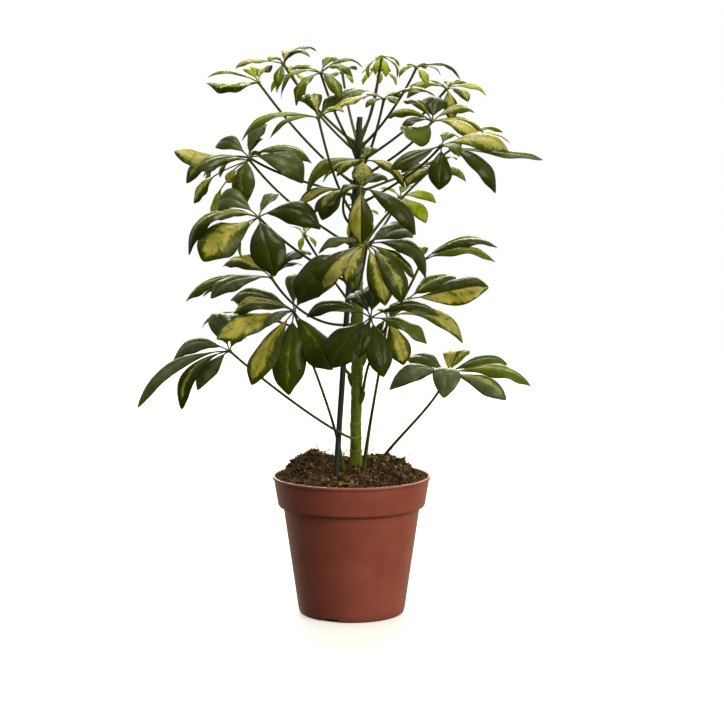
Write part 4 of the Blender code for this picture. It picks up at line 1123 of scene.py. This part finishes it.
def stalk_finish():
    """Leaf stalk: olive green at its foot, brown and darker along it, and yellower near the hub."""
    finish, tree, shader = new_finish("leaf_stalk")
    share = mark(tree, "stalk")
    lines, pores = grained(tree, 900.0, 12.0)
    clouds, specks = mottled(tree, 55.0)
    fill(shader, {
        "Base Color": layered(
            tree, colour(108, 120, 30),
            (step(tree, share, 0.02, 0.30), (78, 72, 20)),
            (step(tree, share, 0.45, 0.85), (94, 82, 22)),
            (step(tree, share, 0.93, 1.0), (112, 122, 50)),
            (step(tree, clouds, 0.0, 0.25, 0.0, 0.35), (60, 44, 20)),
            (product(tree, pores, 0.3), (120, 110, 66)),
        ),
        "Roughness": line(tree, specks, 0.2, 0.42),
        "Normal": relief(tree, lines, 0.0003),
        "Specular IOR Level": 0.3,
    })
    return finish


def stem_finish():
    """Stem: green bark with fine ridges and pale pores, browner by the soil."""
    finish, tree, shader = new_finish("green_bark")
    height = parts_of(tree, place(tree))[2]
    lines, pores = grained(tree, 520.0, 9.0)
    clouds, specks = mottled(tree, 70.0)
    by_soil = step(tree, line(tree, clouds, 0.05, height), 0.172, 0.152)
    fill(shader, {
        "Base Color": layered(
            tree, colour(134, 150, 36),
            (step(tree, height, 0.19, 0.40), (112, 130, 32)),
            (product(tree, step(tree, clouds, -0.02, 0.16), 0.55), (78, 90, 26)),
            (product(tree, by_soil, 0.4), (92, 78, 46)),
            (step(tree, lines, 0.02, 0.2, 0.0, 0.35), (128, 134, 64)),
            (product(tree, pores, 0.55), (172, 164, 112)),
        ),
        "Roughness": line(tree, specks, 0.3, 0.40),
        "Normal": relief(tree, line(tree, pores, 0.6, lines), 0.0007),
    })
    return finish


def cane_finish():
    """Cane: stained wood, dark slate blue, darker and greener low down, paler on its cut top."""
    finish, tree, shader = new_finish("stained_wood")
    height = parts_of(tree, place(tree))[2]
    lines, _ = grained(tree, 900.0, 25.0)
    clouds, specks = mottled(tree, 60.0)
    top = CANE_TOP[2] * MM
    fill(shader, {
        "Base Color": layered(
            tree, colour(36, 50, 56),
            (step(tree, height, 0.22, 0.42), (50, 54, 60)),
            (step(tree, lines, 0.0, 0.22, 0.0, 0.6), (78, 84, 90)),
            (step(tree, clouds, 0.05, 0.25, 0.0, 0.5), (20, 24, 32)),
            (step(tree, height, top - 0.0008, top - 0.0002, 0.0, 0.6), (110, 108, 100)),
        ),
        "Roughness": line(tree, specks, 0.3, 0.55),
        "Normal": relief(tree, lines, 0.0005),
    })
    return finish


def pot_finish():
    """Pot: satin moulded plastic, faintly mottled, with fine rubs and peat dust inside.

    Its lip is pale, partly from wear and partly a painted highlight. Painted shade darkens its underside
    within the foot, and its lowest part is darker in cloudy patches.
    """
    finish, tree, shader = new_finish("terracotta_plastic")
    x, y, height = parts_of(tree, place(tree))
    radius = axis_distance(tree, x, y)
    clouds, specks = mottled(tree, 28.0)
    drawn = vector_of(tree, product(tree, x, 3.0), product(tree, y, 3.0), product(tree, height, 40.0))
    rubs = product(tree, step(tree, grain(tree, drawn, 6.0, 4.0, 0.7), 0.62, 0.76),
                   step(tree, clouds, 0.0, 0.2))
    # Pale lip along the top of the rim: partly wear, partly a painted highlight.
    lip = product(tree, step(tree, height, RIM_HEIGHT - 0.0016, RIM_HEIGHT - 0.0006),
                  step(tree, radius, COLLAR_TOP_RADIUS - 0.0015, COLLAR_TOP_RADIUS - 0.0007))
    lip = product(tree, lip, step(tree, specks, -0.35, 0.05, 0.45, 1.0))
    mid_wall = COLLAR_FOOT_RADIUS - COLLAR_SLOPE * COLLAR_FOOT_HEIGHT - WALL / 2
    indoors = calc(tree, "LESS_THAN", radius, line(tree, height, COLLAR_SLOPE, mid_wall))
    dusty = product(tree, product(tree, indoors, step(tree, height, 0.12, 0.14)),
                    step(tree, specks, -0.1, 0.15))
    # Painted shade: the underside within the foot is made dark, where the pot's own floor shades it.
    within_foot = calc(tree, "LESS_THAN", radius, FOOT_INNER_RADIUS + 0.001)
    under = product(tree, step(tree, height, GUTTER_HEIGHT + 0.0011, GUTTER_HEIGHT - 0.0005), within_foot)
    # Darker in cloudy patches over the lowest 12 mm of the pot.
    low_dark_patches = product(tree, step(tree, height, 0.012, 0.0), step(tree, clouds, -0.1, 0.2))
    fill(shader, {
        "Base Color": layered(
            tree, colour(169, 83, 69),
            (step(tree, clouds, -0.2, 0.25), (184, 93, 79)),
            (step(tree, specks, 0.12, 0.3, 0.0, 0.22), (196, 128, 106)),
            (product(tree, rubs, 0.3), (205, 150, 130)),
            (product(tree, lip, 0.18), (214, 156, 134)),
            (product(tree, dusty, 0.7), (70, 48, 34)),
            (product(tree, under, 0.8), (52, 34, 26)),
            (product(tree, low_dark_patches, 0.35), (104, 62, 48)),
        ),
        "Roughness": line(tree, rubs, 0.12, line(tree, clouds, 0.18, 0.46)),
        "Normal": relief(tree, grain(tree, place(tree), 1600.0, 2.0), 0.00012, 0.6),
        "IOR": 1.65,
    })
    return finish


def soil_finish():
    """Soil: dark peat, redder and paler by lumps, with pale grains and threads, always rough."""
    finish, tree, shader = new_finish("peat")
    clouds, specks = mottled(tree, 110.0)
    fill(shader, {
        "Base Color": layered(
            tree, colour(30, 21, 14),
            (step(tree, clouds, -0.16, 0.2), (112, 88, 58)),
            (step(tree, specks, 0.1, 0.24, 0.0, 0.55), (168, 138, 84)),
            (step(tree, specks, -0.06, -0.2, 0.0, 0.8), (20, 14, 8)),
        ),
        "Roughness": 0.95,
        "Normal": relief(tree, specks, 0.0022),
        "Specular IOR Level": 0.2,
    })
    return finish


def loose_finish(name, low, high, roughness):
    """Loose bits of the soil: each its own shade of two colours, darker in broad patches, some redder."""
    finish, tree, shader = new_finish(name)
    share = mark(tree, "shade")
    clouds, specks = mottled(tree, 400.0)
    patches, _ = mottled(tree, 75.0)
    redder = step(tree, calc(tree, "PINGPONG", product(tree, share, 7.0), 0.5), 0.30, 0.45, 0.0, 0.6)
    base = layered(tree, colour(*low), (calc(tree, "POWER", share, 2.0), high), (redder, (96, 58, 38)))
    shade = line(tree, clouds, 0.9, step(tree, patches, -0.14, 0.12, 0.45, 1.2))
    fill(shader, {
        "Base Color": shaded(tree, base, shade),
        "Roughness": roughness,
        "Normal": relief(tree, specks, 0.0006),
        "Specular IOR Level": 0.2,
    })
    return finish


# ---------------------------------------------------------------- studio


def build_floor():
    """A round pale floor that fades into the white around it, and is black under the pot's open foot: a
    painted shadow.
    """
    top = round_axis(FLOOR_RINGS, full_turn(FLOOR_COLUMNS), 0.0)
    shape = shells(np.concatenate([top, top[::-1] - UP * FLOOR_THICKNESS]))
    mesh = bpy.data.meshes.new("floor")
    mesh.from_pydata(shape["points"].tolist(), [], shape["quads"].tolist() + shape["fans"].tolist())
    finish, tree, shader = new_finish("pale_floor")
    x, y, _ = parts_of(tree, place(tree))
    # Painted shadow: black and without glow inside the pot's foot.
    outside_painted_shadow = step(tree, axis_distance(tree, x, y), FOOT_INNER_RADIUS, FOOT_OUTER_RADIUS)
    fill(shader, {
        "Base Color": mixed(tree, outside_painted_shadow, BLACK, (0.9, 0.9, 0.9, 1)),
        "Roughness": 0.8,
        "Emission Color": mixed(tree, outside_painted_shadow, BLACK, WHITE),
        "Emission Strength": FLOOR_GLOW,
    })
    mesh.materials.append(finish)
    floor = add_object("floor", mesh)
    floor.visible_diffuse = False
    floor.visible_glossy = False


def build_world():
    """White surroundings: bright behind and above, dim in front, and plain white where they are seen."""
    world = bpy.data.worlds.new("white_surroundings")
    bpy.context.scene.world = world
    world.use_nodes = True
    tree = world.node_tree
    _, y, z = parts_of(tree, node(tree, "ShaderNodeTexCoord", {})["Generated"])
    behind = line(tree, y, 0.76, product(tree, z, 0.65))
    ahead = line(tree, y, 0.88, product(tree, z, 0.47))
    light = calc(tree, "ADD", step(tree, behind, -0.15, 0.70, DIM_FRONT, BRIGHT_BACK),
                 step(tree, ahead, 0.92, 0.98, 0.0, SOFT_BOX))
    seen = node(tree, "ShaderNodeLightPath", {})["Is Camera Ray"]
    fill(tree.nodes["Background"], {
        "Strength": node(tree, "ShaderNodeMix", {0: seen, 2: light, 3: 1.0})[0],
        "Color": mixed(tree, seen, WARM_WHITE, WHITE),
    })


def add_aimed(name, data, at, target):
    """A lamp or a camera at a place, turned to face its target."""
    obj = add_object(name, data)
    obj.location = at
    obj.rotation_euler = (Vector(target) - Vector(at)).to_track_quat("-Z", "Y").to_euler()
    return obj


def build_studio():
    """The floor, the surroundings, the square soft lamps and the camera."""
    build_floor()
    build_world()
    for name, at, target, size, power in LAMPS:
        lamp = bpy.data.lights.new(name, "AREA")
        lamp.size = size
        lamp.energy = power
        lamp.color = WARM_WHITE[:3]
        add_aimed(name, lamp, at, target)
    lens = bpy.data.cameras.new("camera")
    lens.lens = CAMERA_LENS
    lens.sensor_width = CAMERA_SENSOR
    bpy.context.scene.camera = add_aimed("camera", lens, CAMERA_PLACE, CAMERA_TARGET)
    bpy.context.scene.view_settings.view_transform = "Standard"


# ---------------------------------------------------------------- the whole plant

build_studio()
build_leaves(blade_finish(), stalk_finish())
build_stem(stem_finish())
build_cane(cane_finish())
build_pot(pot_finish())
build_soil(
    soil_finish(),
    loose_finish("crumbs", (34, 24, 15), (204, 160, 116), 0.95),
    loose_finish("fibres", (58, 40, 24), (226, 196, 142), 0.8),
)
